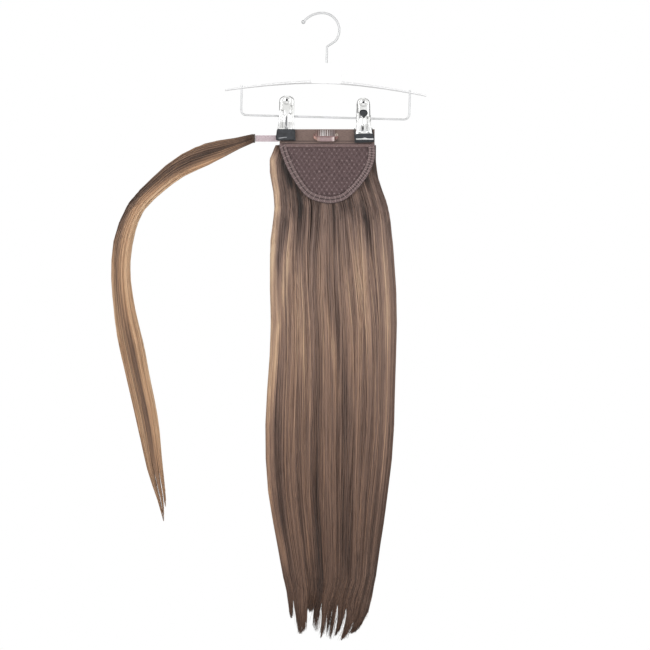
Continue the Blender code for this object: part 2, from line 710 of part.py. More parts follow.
def make_sleeve(finish):
    """The soft tube on the bow, open at both ends."""
    line = bow_points(SLEEVE_LENGTH / 2, 4)
    outer = [strip_ring(point, SLEEVE_HEIGHT, SLEEVE_THICKNESS, 12) for point in line]
    sleeve = skin("snap_sleeve", outer, finish)
    hollow = []
    for x, y, z in bow_points(SLEEVE_LENGTH / 2 + GAP, 4):
        top, bottom = z + BOW_WIDTH / 2 + GAP, z - BOW_WIDTH / 2 - GAP
        front, back = y - COMB_METAL / 2 - GAP, y + COMB_METAL / 2 + GAP
        hollow.append([(x, front, bottom), (x, front, top), (x, back, top), (x, back, bottom)])
    combine(sleeve, skin("hollow", hollow, finish), "DIFFERENCE")
    return sleeve


make_comb(NICKEL)
make_bow(NICKEL)
make_sleeve(SILICONE)


# Cap
def cap_outline(count):
    """Points round the cap's curved edge from its top left to its top right."""
    rows = smooth_rows(CAP_ROWS, count)
    left = [Vector((CAP_X - CAP_HALF_WIDTH * r[1], 0, CAP_TOP_Z - CAP_DEPTH * r[0])) for r in rows]
    right = [Vector((CAP_X + CAP_HALF_WIDTH * r[2], 0, CAP_TOP_Z - CAP_DEPTH * r[0])) for r in rows]
    return left + right[::-1]


def inward(points, distance):
    """The outline moved towards the cap's middle, with its two ends kept at their height."""
    moved = []
    for i, point in enumerate(points):
        before, after = points[max(i - 1, 0)], points[min(i + 1, len(points) - 1)]
        along = (after - before).normalized()
        step = Vector((-along.z, 0, along.x)) * distance
        if i in (0, len(points) - 1):
            step = Vector((math.copysign(distance, step.x), 0, 0))
        moved.append(point + step)
    return moved


def make_net(finish):
    """A shallow dish that fills the binding."""
    rim = inward(cap_outline(14), BINDING_WIDTH + GAP)
    middle = Vector((CAP_X, 0, CAP_TOP_Z - CAP_DEPTH * 0.40))
    shape = bmesh.new()
    sides = []
    for y in (-CAP_NET_THICKNESS / 2, CAP_NET_THICKNESS / 2):
        loops = []
        for share in (1.0, 0.82, 0.60, 0.34):
            bulge = CAP_BULGE * (1 - share**2)
            loops.append([
                shape.verts.new(middle + (point - middle) * share + Vector((0, y - bulge, 0)))
                for point in rim
            ])
        centre = shape.verts.new(middle + Vector((0, y - CAP_BULGE, 0)))
        for wide, narrow in zip(loops, loops[1:]):
            for i in range(len(wide)):
                j = (i + 1) % len(wide)
                shape.faces.new((wide[i], wide[j], narrow[j], narrow[i]))
        for i in range(len(rim)):
            shape.faces.new((loops[-1][i], loops[-1][(i + 1) % len(rim)], centre))
        sides.append(loops[0])
    for i in range(len(rim)):
        j = (i + 1) % len(rim)
        shape.faces.new((sides[0][i], sides[0][j], sides[1][j], sides[1][i]))
    return from_bmesh("cap_net", shape, finish)


def make_binding(finish):
    """Flat tape with a cord along each edge of its front."""
    face, back = -BINDING_THICKNESS / 2, BINDING_THICKNESS / 2
    section = [(0, back)]
    for cord in (0, BINDING_WIDTH - BINDING_CORD):
        for share, rise in ((0.0, 0.0), (0.2, 0.45), (0.5, 0.60), (0.8, 0.45), (1.0, 0.0)):
            section.append((cord + BINDING_CORD * share, face - BINDING_CORD * rise))
    section.append((BINDING_WIDTH, back))
    outline = cap_outline(14)
    lines = [inward(outline, distance) for distance, _ in section]
    rings = [
        [line[i] + Vector((0, y, 0)) for line, (_, y) in zip(lines, section)]
        for i in range(len(outline))
    ]
    return skin("cap_binding", rings, finish)


make_net(NET)
make_binding(BINDING)


# Hair
def tail_rows():
    """(drop, left, right, front, back) in metres down the tail."""
    below = TAIL_LENGTH - CAP_DEPTH
    rows = [(row[0] * CAP_DEPTH, *row[1:]) for row in smooth_rows(TAIL_BESIDE_CAP, 8)]
    rows += [(CAP_DEPTH + row[0] * below, *row[1:]) for row in smooth_rows(TAIL_BELOW_CAP, 21)]
    sizes = (1.0, TAIL_HALF_WIDTH, TAIL_HALF_WIDTH, TAIL_THICKNESS, TAIL_THICKNESS)
    return [tuple(share * size for share, size in zip(row, sizes)) for row in rows]


def tail_ring(drop, left, right, front, back):
    """One section of the tail: locks stand out as ridges on its front and back."""
    y_front, y_back = CAP_BACK_Y - front, CAP_BACK_Y + back
    middle = (y_front + y_back) / 2
    relief = TAIL_LOCK_RELIEF * min(1.0, back / (0.3 * TAIL_THICKNESS))
    ring = []
    for face, y_face in ((-1, y_front), (1, y_back)):
        ridges = relief if face > 0 else relief * min(1.0, front / (0.1 * TAIL_THICKNESS))
        places = range(2 * TAIL_LOCKS)
        for place in places if face < 0 else [2 * TAIL_LOCKS - p for p in places]:
            share = place / TAIL_LOCKS - 1
            thickness = (1 - abs(share) ** 2.6) ** 0.5
            sway = math.sin(9 * drop / TAIL_LENGTH + 1.7 * place) * TAIL_LOCK_SWAY * thickness
            x = (left if share < 0 else right) * share
            y = middle + (y_face - middle) * thickness
            ridge = ridges * thickness * (place % 2 - 1)
            ring.append((TAIL_X + x + sway, y + face * ridge, TAIL_TOP_Z - drop))
    return ring


def tail_lock(start_drop, start_x, tip_drop, tip_x, width, depth, finish):
    """A flat tapered lock from inside the tail to its own pointed tip."""
    below = TAIL_LENGTH - CAP_DEPTH
    rings = []
    steps = 7
    for step in range(steps + 1):
        share = step / steps
        drop = CAP_DEPTH + below * (start_drop + (tip_drop - start_drop) * share)
        x = TAIL_X + TAIL_HALF_WIDTH * (start_x + (tip_x - start_x) * share**1.5)
        size = max(1 - share**2.2, 0.04)
        across = TIP_LOCK_WIDTH * width * size / 2
        deep = TIP_LOCK_THICKNESS * size / 2
        y = CAP_BACK_Y + TAIL_THICKNESS * depth * (1 - share * 0.5)
        rings.append([
            (x + across * math.cos(angle), y + deep * math.sin(angle), TAIL_TOP_Z - drop)
            for angle in (math.tau * i / 8 for i in range(8))
        ])
    return skin("lock", rings, finish)


def make_tail(finish):
    """The ridged body with its tip locks. Its long thin facets lose pieces with the exact solver."""
    tail = skin("hair_tail", [tail_ring(*row) for row in tail_rows()], finish)
    for lock in TIP_LOCKS:
        combine(tail, tail_lock(*lock, finish), "UNION", "MANIFOLD")
    return tail


def make_tape(finish):
    low = (TAPE_RIGHT_X - TAPE_LENGTH, -TAPE_THICKNESS / 2, TAPE_TOP_Z - TAPE_HEIGHT)
    return block("wrap_tape", low, (TAPE_RIGHT_X, TAPE_THICKNESS / 2, TAPE_TOP_Z), finish)


def flat_ring(x, height, thickness, sides=12):
    return [
        (x, thickness / 2 * math.cos(angle), CUFF_Z + height / 2 * math.sin(angle))
        for angle in (math.tau * i / sides for i in range(sides))
    ]


def make_cuff(finish):
    """The bound root, a little waisted between its two ends."""
    rings = []
    for share, size in ((0.0, 0.86), (0.2, 1.0), (0.5, 0.93), (0.8, 1.0), (1.0, 0.86)):
        x = CUFF_RIGHT_X - CUFF_LENGTH * share
        rings.append(flat_ring(x, CUFF_HEIGHT * size, CUFF_THICKNESS * size))
    return skin("wrap_cuff", rings, finish)


def make_strand(finish):
    """The loose strand, lofted across its own path."""
    rows = smooth_rows(STRAND_ROWS, 44)
    path = [STRAND_ROOT + Vector((-out * STRAND_OUT, 0, -down * STRAND_DROP)) for out, down, _, _ in rows]
    sides = 14
    rings = []
    for i, (_, _, width, thickness) in enumerate(rows):
        along = (path[min(i + 1, len(path) - 1)] - path[max(i - 1, 0)]).normalized()
        across = Vector((-along.z, 0, along.x)) if i else Vector((0, 0, 1))
        ring = []
        for side in range(sides):
            angle = math.tau * side / sides
            ridge = 1 + STRAND_RELIEF / STRAND_THICKNESS * (1 if side % 2 else -1)
            w = across * (width * STRAND_WIDTH / 2 * math.cos(angle) * ridge)
            t = Vector((0, thickness * STRAND_THICKNESS / 2 * math.sin(angle) * ridge, 0))
            ring.append(path[i] + w + t)
        rings.append(ring)
    return skin("wrap_strand", rings, finish)


make_tail(HAIR)
make_tape(TAPE)
make_cuff(HAIR)
make_strand(LIGHT_HAIR)
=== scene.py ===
# %% [markdown]
# # A long ponytail hairpiece on its clip hanger
#
# This notebook dresses a measured frame: the solids are already there, in metres, with the
# origin at the inner top of the hanger's hook. We never move them. We give them their real
# finishes, and we replace the plain solids of the soft parts with hair, net, tape and cord.
#
# The first three lines load that frame. Everything later is measured from it.

import math

import bmesh
import bpy
import numpy as np
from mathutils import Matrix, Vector


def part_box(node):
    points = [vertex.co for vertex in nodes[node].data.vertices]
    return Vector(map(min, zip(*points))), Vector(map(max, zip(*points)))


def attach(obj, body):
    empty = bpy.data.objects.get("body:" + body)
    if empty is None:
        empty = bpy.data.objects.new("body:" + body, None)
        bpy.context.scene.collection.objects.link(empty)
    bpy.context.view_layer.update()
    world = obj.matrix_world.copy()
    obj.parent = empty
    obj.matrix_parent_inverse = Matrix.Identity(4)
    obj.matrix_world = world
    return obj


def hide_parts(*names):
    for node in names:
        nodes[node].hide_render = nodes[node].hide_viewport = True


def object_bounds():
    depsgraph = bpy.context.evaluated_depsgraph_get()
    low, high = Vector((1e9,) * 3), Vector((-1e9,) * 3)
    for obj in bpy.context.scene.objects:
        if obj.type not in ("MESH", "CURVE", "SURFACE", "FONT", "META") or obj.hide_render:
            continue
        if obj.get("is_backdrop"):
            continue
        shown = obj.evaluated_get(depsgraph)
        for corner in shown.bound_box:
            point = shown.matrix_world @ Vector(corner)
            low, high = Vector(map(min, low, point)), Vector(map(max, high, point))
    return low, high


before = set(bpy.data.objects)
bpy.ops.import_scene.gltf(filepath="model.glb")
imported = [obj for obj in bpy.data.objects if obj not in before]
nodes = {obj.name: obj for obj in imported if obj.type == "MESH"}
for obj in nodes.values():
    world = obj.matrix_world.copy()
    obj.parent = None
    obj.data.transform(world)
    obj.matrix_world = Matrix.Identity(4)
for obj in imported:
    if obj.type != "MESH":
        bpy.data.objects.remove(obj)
cad_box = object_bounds()
MM = 0.001
QUARTER = math.radians(90)
print("CAD nodes:", len(nodes))

# %% [markdown]
# ## Small helpers
#
# Blender's operators act on whatever is selected, as when you work by hand. So each piece
# starts from an empty selection, and each finished piece goes through one function that
# applies its place, names it, colours it and ties it to the frame.

# %% Helpers for modelling
def start_clean():
    """Leaves edit mode with nothing selected."""
    if bpy.context.mode != "OBJECT":
        bpy.ops.object.mode_set(mode="OBJECT")
    bpy.ops.object.select_all(action="DESELECT")


def make_active(obj):
    start_clean()
    obj.select_set(True)
    bpy.context.view_layer.objects.active = obj


def add_object(name, mesh):
    obj = bpy.data.objects.new(name, mesh)
    bpy.context.scene.collection.objects.link(obj)
    return obj


def edit_all():
    """Edit mode on the active object, with all of it selected."""
    bpy.ops.object.mode_set(mode="EDIT")
    bpy.ops.mesh.select_all(action="SELECT")


def extrude(move):
    bpy.ops.mesh.extrude_region_move(TRANSFORM_OT_translate={"value": move})


def select_faces(obj, chosen):
    """In edit mode, selects only the faces that pass the test."""
    bpy.ops.mesh.select_all(action="DESELECT")
    shape = bmesh.from_edit_mesh(obj.data)
    for face in shape.faces:
        face.select = chosen(face)
    bmesh.update_edit_mesh(obj.data)


def face_outwards():
    """Turns every face outwards and leaves edit mode."""
    bpy.ops.mesh.select_all(action="SELECT")
    bpy.ops.mesh.normals_make_consistent(inside=False)
    bpy.ops.object.mode_set(mode="OBJECT")


def apply_place():
    bpy.ops.object.transform_apply(location=True, rotation=True, scale=True)


def apply_modifier(obj, kind, **settings):
    """Adds a modifier to the active object, sets it up and applies it."""
    modifier = obj.modifiers.new(kind.title(), kind)
    for key, value in settings.items():
        setattr(modifier, key, value)
    bpy.ops.object.modifier_apply(modifier=modifier.name)


def smooth_below(degrees):
    """Smooth shading, with edges sharper than that kept crisp."""
    bpy.ops.object.shade_smooth_by_angle(angle=math.radians(degrees))


def upright_plane(x, y, z, wide, tall):
    """A plane that faces the viewer, with its middle at x, y, z."""
    start_clean()
    bpy.ops.mesh.primitive_plane_add(size=1.0, rotation=(QUARTER, 0, 0), location=(x, y, z))
    plane = bpy.context.active_object
    plane.scale = (wide, tall, 1.0)
    apply_place()
    return plane


def finish_piece(obj, name, finish, stands_for=()):
    """Applies place, turn and size, so that the object sits at the origin, and ties it on."""
    make_active(obj)
    apply_place()
    obj.name = obj.data.name = name
    obj.data.materials.clear()
    obj.data.materials.append(finish)
    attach(obj, "root")
    if stands_for:
        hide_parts(*stands_for)
    print(name, len(obj.data.polygons), "faces")


# %% [markdown]
# ## Helpers for materials
#
# A hex colour from a picture is in sRGB, and a shader wants linear light, so one function
# converts. Another adds a node, sets its inputs and links it. A few more name what such
# nodes do, so a material reads as a short recipe: what the surface is, then how it varies.

# %% Helpers for materials
def linear(hex_colour):
    """sRGB hex to the linear RGBA that shaders use."""
    parts = [int(hex_colour[i : i + 2], 16) / 255 for i in (1, 3, 5)]
    return (*(c / 12.92 if c <= 0.04045 else ((c + 0.055) / 1.055) ** 2.4 for c in parts), 1.0)


def new_material(name, **settings):
    """A Principled material and its nodes. Settings are its sockets, with _ for a space."""
    made = bpy.data.materials.new(name)
    made.use_nodes = True
    shader = made.node_tree.nodes["Principled BSDF"]
    for socket, value in settings.items():
        shader.inputs[socket.replace("_", " ")].default_value = value
    return made, made.node_tree


def add_node(tree, kind, settings=None, links=None):
    """Adds one node: settings are its properties and unlinked inputs, links its linked ones."""
    node = tree.nodes.new(kind)
    for key, value in (settings or {}).items():
        if isinstance(key, int) or key in node.inputs:
            node.inputs[key].default_value = value
        else:
            setattr(node, key, value)
    for key, source in (links or {}).items():
        tree.links.new(source, node.inputs[key])
    return node


def feed(tree, socket, source):
    """Links the source to a socket of the Principled shader."""
    tree.links.new(source, tree.nodes["Principled BSDF"].inputs[socket])


def place_on(tree, stretch=(1, 1, 1)):
    """Object coordinates. A stretch under 1 draws the pattern out along that axis."""
    spot = add_node(tree, "ShaderNodeTexCoord").outputs["Object"]
    return add_node(tree, "ShaderNodeMapping", {"Scale": stretch}, {"Vector": spot}).outputs[0]


def noise(tree, place, scale, detail=2.0):
    settings = {"Scale": scale, "Detail": detail}
    return add_node(tree, "ShaderNodeTexNoise", settings, {"Vector": place}).outputs["Fac"]


def colour_ramp(tree, source, stops):
    """A colour ramp through (position, hex) stops."""
    ramp = add_node(tree, "ShaderNodeValToRGB", links={"Fac": source})
    elements = ramp.color_ramp.elements
    while len(elements) < len(stops):
        elements.new(0.5)
    for element, (position, hex_colour) in zip(elements, stops):
        element.position = position
        element.color = linear(hex_colour)
    return ramp.outputs["Color"]


def spread(tree, source, low, high):
    """A value from 0 to 1 brought between low and high."""
    settings = {"To Min": low, "To Max": high}
    return add_node(tree, "ShaderNodeMapRange", settings, {"Value": source}).outputs["Result"]


def share_along(tree, place, axis, low, high):
    """0 where the place's axis reads low, and 1 where it reads high."""
    split = add_node(tree, "ShaderNodeSeparateXYZ", links={0: place})
    settings = {"From Min": low, "From Max": high}
    links = {"Value": split.outputs[axis]}
    return add_node(tree, "ShaderNodeMapRange", settings, links).outputs["Result"]


def relief(tree, height, strength, distance_mm):
    """Bumps for the Normal socket."""
    settings = {"Strength": strength, "Distance": distance_mm * MM}
    return add_node(tree, "ShaderNodeBump", settings, {"Height": height}).outputs[0]


def blended(tree, first, second, blend="MULTIPLY"):
    settings = {"data_type": "RGBA", "blend_type": blend, 0: 1.0}
    return add_node(tree, "ShaderNodeMix", settings, {6: first, 7: second}).outputs[2]


# %% [markdown]
# ## Camera
#
# The picture was taken straight on with a long lens. One of its 650 pixels covers 1.1 mm at
# the hanger, so the view is 715 mm wide there. From that width and the lens we get the
# distance. The hook's centre line is at pixel 322.5 across, and the origin at 14 down.

# %% Camera
PIXEL = 1.1 * MM
FRAME_PIXELS = 650
ORIGIN_PIXEL = (322.5, 14.0)
LENS_MM, SENSOR_MM = 100.0, 36.0

camera_x = (FRAME_PIXELS / 2 - ORIGIN_PIXEL[0]) * PIXEL
camera_z = -(FRAME_PIXELS / 2 - ORIGIN_PIXEL[1]) * PIXEL
camera_distance = FRAME_PIXELS * PIXEL * LENS_MM / SENSOR_MM
camera_data = bpy.data.cameras.new("camera")
camera_data.lens = LENS_MM
camera_data.sensor_width = SENSOR_MM
camera = add_object("camera", camera_data)
camera.location = (camera_x, -camera_distance, camera_z)
camera.rotation_euler = (QUARTER, 0, 0)
bpy.context.scene.camera = camera
print("camera distance", round(camera_distance, 3), "m")


def at_pixel(across, down):
    """The place in the hanger's plane that shows at that pixel of the photograph."""
    return Vector(((across - ORIGIN_PIXEL[0]) * PIXEL, 0.0, -(down - ORIGIN_PIXEL[1]) * PIXEL))


# %% [markdown]
# ## Light
#
# A white studio lights hair from all round, but polished metal needs something dark to
# mirror, or it vanishes into the white. So the world is a soft gradient for everything but
# the camera: bright in front, dark at the sides. The camera sees plain white. Large area
# lights add the sheen on the hair, and two of them, by the camera and below it, show in the
# flat metal. The standard view transform keeps the measured colours.

# %% World and lights
scene = bpy.context.scene
scene.view_settings.view_transform = "Standard"
scene.world = bpy.data.worlds.new("white studio")
scene.world.use_nodes = True
sky = scene.world.node_tree
sky.nodes.clear()
place = add_node(sky, "ShaderNodeTexCoord").outputs["Generated"]
studio = colour_ramp(sky, share_along(sky, place, "Y", 1.0, -1.0), (
    (0.00, "#d8d8d8"), (0.36, "#8e8e90"), (0.50, "#5c5c5e"), (0.66, "#b0b0b1"),
    (0.84, "#f4f4f4"), (1.00, "#ffffff"),
))
rays = add_node(sky, "ShaderNodeLightPath")
lighting = add_node(sky, "ShaderNodeBackground", {"Strength": 0.765}, {"Color": studio})
backdrop = add_node(sky, "ShaderNodeBackground", {"Strength": 1.0, "Color": linear("#ffffff")})
seen = add_node(
    sky, "ShaderNodeMixShader",
    links={0: rays.outputs["Is Camera Ray"], 1: lighting.outputs[0], 2: backdrop.outputs[0]},
)
add_node(sky, "ShaderNodeOutputWorld", links={"Surface": seen.outputs[0]})

MIDDLE = (0.0, 0.0, camera_z)
SOFTBOXES = (
    # name, place, what it is aimed at and size in metres, then watts
    ("left", (-1.3, -1.5, 0.35), MIDDLE, (0.9, 1.3), 13),
    ("right", (1.5, -1.3, 0.15), MIDDLE, (0.8, 1.3), 8),
    ("back", (0.3, 1.8, 0.5), MIDDLE, (1.2, 1.2), 9),
    ("front", (0.0, -2.6, camera_z), MIDDLE, (1.6, 1.6), 3.4),
    ("low", (0.0, -1.5, -1.5), (0.0, 0.0, -0.1), (1.6, 0.9), 3.6),
)
for name, place, aim, size, watts in SOFTBOXES:
    light = bpy.data.lights.new("softbox " + name, "AREA")
    light.energy = watts
    light.shape = "RECTANGLE"
    light.size, light.size_y = size
    lamp = add_object(light.name, light)
    lamp.location = place
    lamp.rotation_euler = (Vector(aim) - Vector(place)).to_track_quat("-Z", "Y").to_euler()
print("lights", len(bpy.data.lights))

# %% [markdown]
# ## Floor
#
# The piece hangs from its hook, so the floor is only a pale disc well below the tips. A
# filled circle is extruded down and widened a little, for a sloping rim.

# %% Floor
FLOOR_DROP, FLOOR_RADIUS, FLOOR_THICKNESS, RIM_SPREAD = 0.12, 0.50, 0.01, 1.02
floor_z = cad_box[0][2] - FLOOR_DROP
start_clean()
bpy.ops.mesh.primitive_circle_add(
    vertices=96, radius=FLOOR_RADIUS, fill_type="NGON", location=(0, 0, floor_z)
)
floor = bpy.context.active_object
edit_all()
extrude((0, 0, -FLOOR_THICKNESS))
bpy.ops.transform.resize(
    value=(RIM_SPREAD, RIM_SPREAD, 1.0), center_override=(0, 0, floor_z - FLOOR_THICKNESS)
)
bpy.ops.object.mode_set(mode="OBJECT")
floor.name = "floor"
paper, tree = new_material("matt white paper", Roughness=0.9)
fibre = noise(tree, place_on(tree), 900.0)
feed(tree, "Base Color", colour_ramp(tree, fibre, ((0.3, "#ededeb"), (0.7, "#f4f4f3"))))
floor.data.materials.append(paper)
floor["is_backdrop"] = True
print("floor at", round(floor_z, 3))

# %% [markdown]
# ## Wire, clips and comb: metal
#
# The hanger's hook and rail are drawn steel wire with a chrome plating that has gone dull.
# The clips are pressed from spring steel and nickel plated, which is warmer and glossier.
# The snap comb and its bow are steel under a brown lacquer, and the white of the comb's
# middle teeth is a painted highlight, where they glint. All of these are metals, so they keep
# the shader's default IOR, and only tone, roughness and a fine relief vary over them. Noise
# is drawn out along one axis to read as drawing or rolling lines.

# %% Metal finishes
EVEN, ALONG_X, ALONG_Z = (1, 1, 1), (0.2, 1, 1), (1, 1, 0.12)      # which way the grain runs


def plated_metal(name, dark, light, rough, grain_mm, grain, strength):
    """Plated steel, duller in patches. grain_mm is how far apart its lines lie."""
    made, tree = new_material(name, Metallic=1.0)
    handled = noise(tree, place_on(tree), 60.0)
    lines = noise(tree, place_on(tree, grain), 1 / (grain_mm * MM), 3.0)
    feed(tree, "Base Color", colour_ramp(tree, handled, ((0.35, dark), (0.65, light))))
    feed(tree, "Roughness", spread(tree, handled, rough * 0.7, rough * 1.5))
    feed(tree, "Normal", relief(tree, lines, strength, 0.05))
    return made


def tint_along(finish, axis, stops, blend="MULTIPLY"):
    """Blends colours that change along an axis, as (mm, hex) stops, into a finish."""
    tree = finish.node_tree
    base = tree.nodes["Principled BSDF"].inputs["Base Color"].links[0].from_socket
    low, high = stops[0][0] * MM, stops[-1][0] * MM
    shares = [((at * MM - low) / (high - low), colour) for at, colour in stops]
    tint = colour_ramp(tree, share_along(tree, place_on(tree), axis, low, high), shares)
    feed(tree, "Base Color", blended(tree, base, tint, blend))


def refinish(finish, *names):
    """Gives carried-over CAD nodes their real finish. Their meshes stay as they are."""
    for name in names:
        for material_slot in nodes[name].material_slots:
            material_slot.material = finish
    print(finish.name, "on", len(names))


chrome = plated_metal("chromed drawn wire", "#eaebeb", "#f4f4f5", 0.62, 0.6, EVEN, 0.04)
nickel = plated_metal("nickelled spring steel", "#d9d9d7", "#fafafa", 0.30, 0.5, ALONG_Z, 0.12)
# a darker copy of the nickel, painted shade: steel seen in shade
shaded_nickel = plated_metal("nickelled steel, painted shade", "#7c7d80", "#a2a3a6", 0.45, 0.5, ALONG_Z, 0.25)
comb_steel_painted_highlight = plated_metal("lacquered comb steel, painted highlight", "#dedbda", "#fbf8f7", 0.36, 0.5, ALONG_X, 0.20)
bow_steel = plated_metal("brown lacquered bow steel", "#6a4f4a", "#94766e", 0.34, 0.5, ALONG_X, 0.20)
# Brown lacquer colours the outer teeth. The middle teeth are painted near white as a
# highlight, and the right eyelet is lighter. The spine below the teeth has kept its lacquer
# from end to end.
tint_along(comb_steel_painted_highlight, "X", (
    (-12.0, "#8a6c66"), (-5.0, "#a08681"), (-2.4, "#d8cfce"), (0.6, "#ffffff"), (3.2, "#dcd3d3"),
    (5.6, "#fbf5f5"), (8.0, "#c9bfbf"), (12.6, "#a89b9c"), (13.6, "#a08f8c"), (14.1, "#d9cbbf"),
))
tint_along(comb_steel_painted_highlight, "Z", ((-134.6, "#8e7270"), (-134.2, "#ffffff")), "DARKEN")
refinish(chrome, "hanger_hook", "hanger_rail")
for side in ("left", "right"):
    refinish(nickel, side + "_clip_front_arm", side + "_clip_back_arm", side + "_clip_spring")
refinish(comb_steel_painted_highlight, "snap_comb")
refinish(bow_steel, "snap_bow")

# %% [markdown]
# ## Coated bar, rubber shoes, silicone sleeve
#
# The bar has a white powder coat: glossy plastic with a faint orange peel. The shoes on the
# clips are moulded black rubber, dusty in the hollows and polished on the edges. The tube
# on the comb's bow is a dull, slightly translucent silicone, brighter at its right end.

# %% Coating, rubber and silicone
def moulded(name, dark, light, patch_mm, smooth, rough, grain_mm, strength):
    """A moulded or coated plastic: colour and gloss drift in patches, over a fine grain."""
    made, tree = new_material(name)
    patches = noise(tree, place_on(tree), 1 / (patch_mm * MM))
    grain = noise(tree, place_on(tree), 1 / (grain_mm * MM), 1.0)
    feed(tree, "Base Color", colour_ramp(tree, patches, ((0.3, dark), (0.7, light))))
    feed(tree, "Roughness", spread(tree, patches, smooth, rough))
    feed(tree, "Normal", relief(tree, grain, strength, 0.1))
    return made


coating = moulded("white powder coat", "#fafafb", "#ffffff", 14, 0.25, 0.38, 0.9, 0.12)
rubber = moulded("moulded black rubber", "#222428", "#383a3f", 5, 0.30, 0.50, 0.5, 0.20)
silicone = moulded("pink silicone tube", "#d9cfce", "#f0e9e8", 3, 0.35, 0.55, 0.8, 0.15)
tint_along(silicone, "X", (
    (-7.2, "#b9a298"), (-3.8, "#c0a9a4"), (-1.6, "#b49ea0"), (9.5, "#b7a1a1"), (11.8, "#f4e8e6"),
    (15.0, "#f4e8e6"),
))
refinish(coating, "hanger_bar")
for side in ("left", "right"):
    refinish(rubber, side + "_clip_front_pad", side + "_clip_back_pad")
refinish(silicone, "snap_sleeve")

# %% [markdown]
# ## The tail's sections
#
# These are the sections that the solid was lofted through. Each row says how far down it
# is, and how far the hair reaches to the left, right, front and back. Three rows are added
# below the solid's body for the loose tips. Strands are laid inside these sections.

# %% Sections of the tail
CAP_X, CAP_TOP_Z = 4.73 * MM, -143.74 * MM
CAP_HALF_WIDTH, CAP_DEPTH = 53.4 * MM, 64.6 * MM
CAP_BACK_Y = 1.2 * MM
TAIL_X, TAIL_LENGTH = 9.43 * MM, 546.0 * MM
TAIL_HALF_WIDTH, TAIL_THICKNESS = 72.3 * MM, 27.0 * MM
TAIL_BESIDE_CAP = (
    # drop, left, right, front, back
    (0.00, 0.837, 0.677, 0.000, 0.300),
    (0.20, 0.924, 0.672, 0.000, 0.560),
    (0.43, 0.930, 0.675, 0.000, 0.700),
    (0.72, 0.880, 0.755, 0.000, 0.780),
    (0.98, 0.848, 0.845, 0.020, 0.820),
)
TAIL_BELOW_CAP = (
    # drop, left, right, front, back
    (0.029, 0.863, 0.890, 0.130, 0.830),
    (0.080, 0.915, 0.930, 0.170, 0.830),
    (0.136, 0.925, 0.957, 0.185, 0.815),
    (0.205, 0.922, 0.988, 0.185, 0.790),
    (0.278, 0.905, 0.995, 0.180, 0.760),
    (0.353, 0.928, 0.981, 0.170, 0.720),
    (0.432, 0.967, 0.963, 0.160, 0.680),
    (0.511, 0.993, 0.951, 0.150, 0.630),
    (0.591, 0.986, 0.914, 0.140, 0.570),
    (0.659, 0.950, 0.856, 0.125, 0.500),
    (0.728, 0.875, 0.796, 0.110, 0.420),
    (0.795, 0.790, 0.724, 0.095, 0.340),
    (0.851, 0.726, 0.676, 0.080, 0.260),
    (0.893, 0.655, 0.620, 0.065, 0.190),
    (0.940, 0.615, 0.530, 0.050, 0.150),
    (0.970, 0.590, 0.420, 0.040, 0.120),
    (1.010, 0.560, 0.300, 0.030, 0.100),
)
below_cap = TAIL_LENGTH - CAP_DEPTH
sections = np.array(
    [(row[0] * CAP_DEPTH, *row[1:]) for row in TAIL_BESIDE_CAP]
    + [(CAP_DEPTH + row[0] * below_cap, *row[1:]) for row in TAIL_BELOW_CAP]
)


def tail_section(drop):
    """(left x, right x, front y, back y) of the tail at those drops below the cap's top."""
    left, right, front, back = (np.interp(drop, sections[:, 0], sections[:, c]) for c in (1, 2, 3, 4))
    return (
        TAIL_X - left * TAIL_HALF_WIDTH, TAIL_X + right * TAIL_HALF_WIDTH,
        CAP_BACK_Y - front * TAIL_THICKNESS, CAP_BACK_Y + back * TAIL_THICKNESS,
    )


print("sections", len(sections), "down to", round(sections[-1, 0] / MM), "mm")

# %% [markdown]
# ## Strands as one joined mesh
#
# Real hair is a tenth of a millimetre thick, and there are tens of thousands of them. What
# the eye sees at this distance is thin bundles, about half a millimetre across. Each one is
# a three-sided tube that is closed at both ends. Thousands of them are built as arrays in
# one mesh, because separate objects or curves would be far slower. Each point also stores
# its tone, from dark to pale, which the hair material reads.

# %% A mesh of many strands
GOLDEN_ANGLE = 2.399963      # radians, so that neighbours aren't turned alike


def strands_object(name, paths, widths, tones):
    """paths is (strand, point, xyz), widths and tones are (strand, point)."""
    count, points = widths.shape
    along = np.gradient(paths, axis=1)
    along /= np.linalg.norm(along, axis=2, keepdims=True)
    across = np.cross(along, (0.0, 1.0, 0.0))
    across /= np.linalg.norm(across, axis=2, keepdims=True)
    out = np.cross(across, along)
    corners = []
    turn = (np.arange(count) * GOLDEN_ANGLE)[:, None, None]
    for side in range(3):
        angle = turn + math.tau * side / 3
        corners.append(paths + (across * np.cos(angle) + out * np.sin(angle)) * widths[..., None] / 2)
    spots = np.stack(corners, axis=2).reshape(-1, 3)
    base = (np.arange(count) * points * 3)[:, None, None] + (np.arange(points - 1) * 3)[None, :, None]
    side = np.arange(3)[None, None, :]
    a, b = base + side, base + (side + 1) % 3
    root = np.arange(count) * points * 3
    tip = root + (points - 1) * 3
    faces = np.concatenate((
        np.stack((a, a + 3, b), axis=-1).reshape(-1, 3),
        np.stack((b, a + 3, b + 3), axis=-1).reshape(-1, 3),
        np.stack((root, root + 1, root + 2), axis=1),
        np.stack((tip, tip + 2, tip + 1), axis=1),
    ))
    mesh = bpy.data.meshes.new(name)
    mesh.vertices.add(len(spots))
    mesh.vertices.foreach_set("co", spots.ravel().astype(np.float32))
    mesh.loops.add(faces.size)
    mesh.loops.foreach_set("vertex_index", faces.ravel().astype(np.int32))
    mesh.polygons.add(len(faces))
    mesh.polygons.foreach_set("loop_start", np.arange(0, faces.size, 3, dtype=np.int32))
    mesh.update(calc_edges=True)
    mesh.shade_smooth()
    store = mesh.attributes.new("tone", "FLOAT", "POINT")
    store.data.foreach_set("value", np.repeat(tones.ravel(), 3).astype(np.float32))
    return add_object(name, mesh)


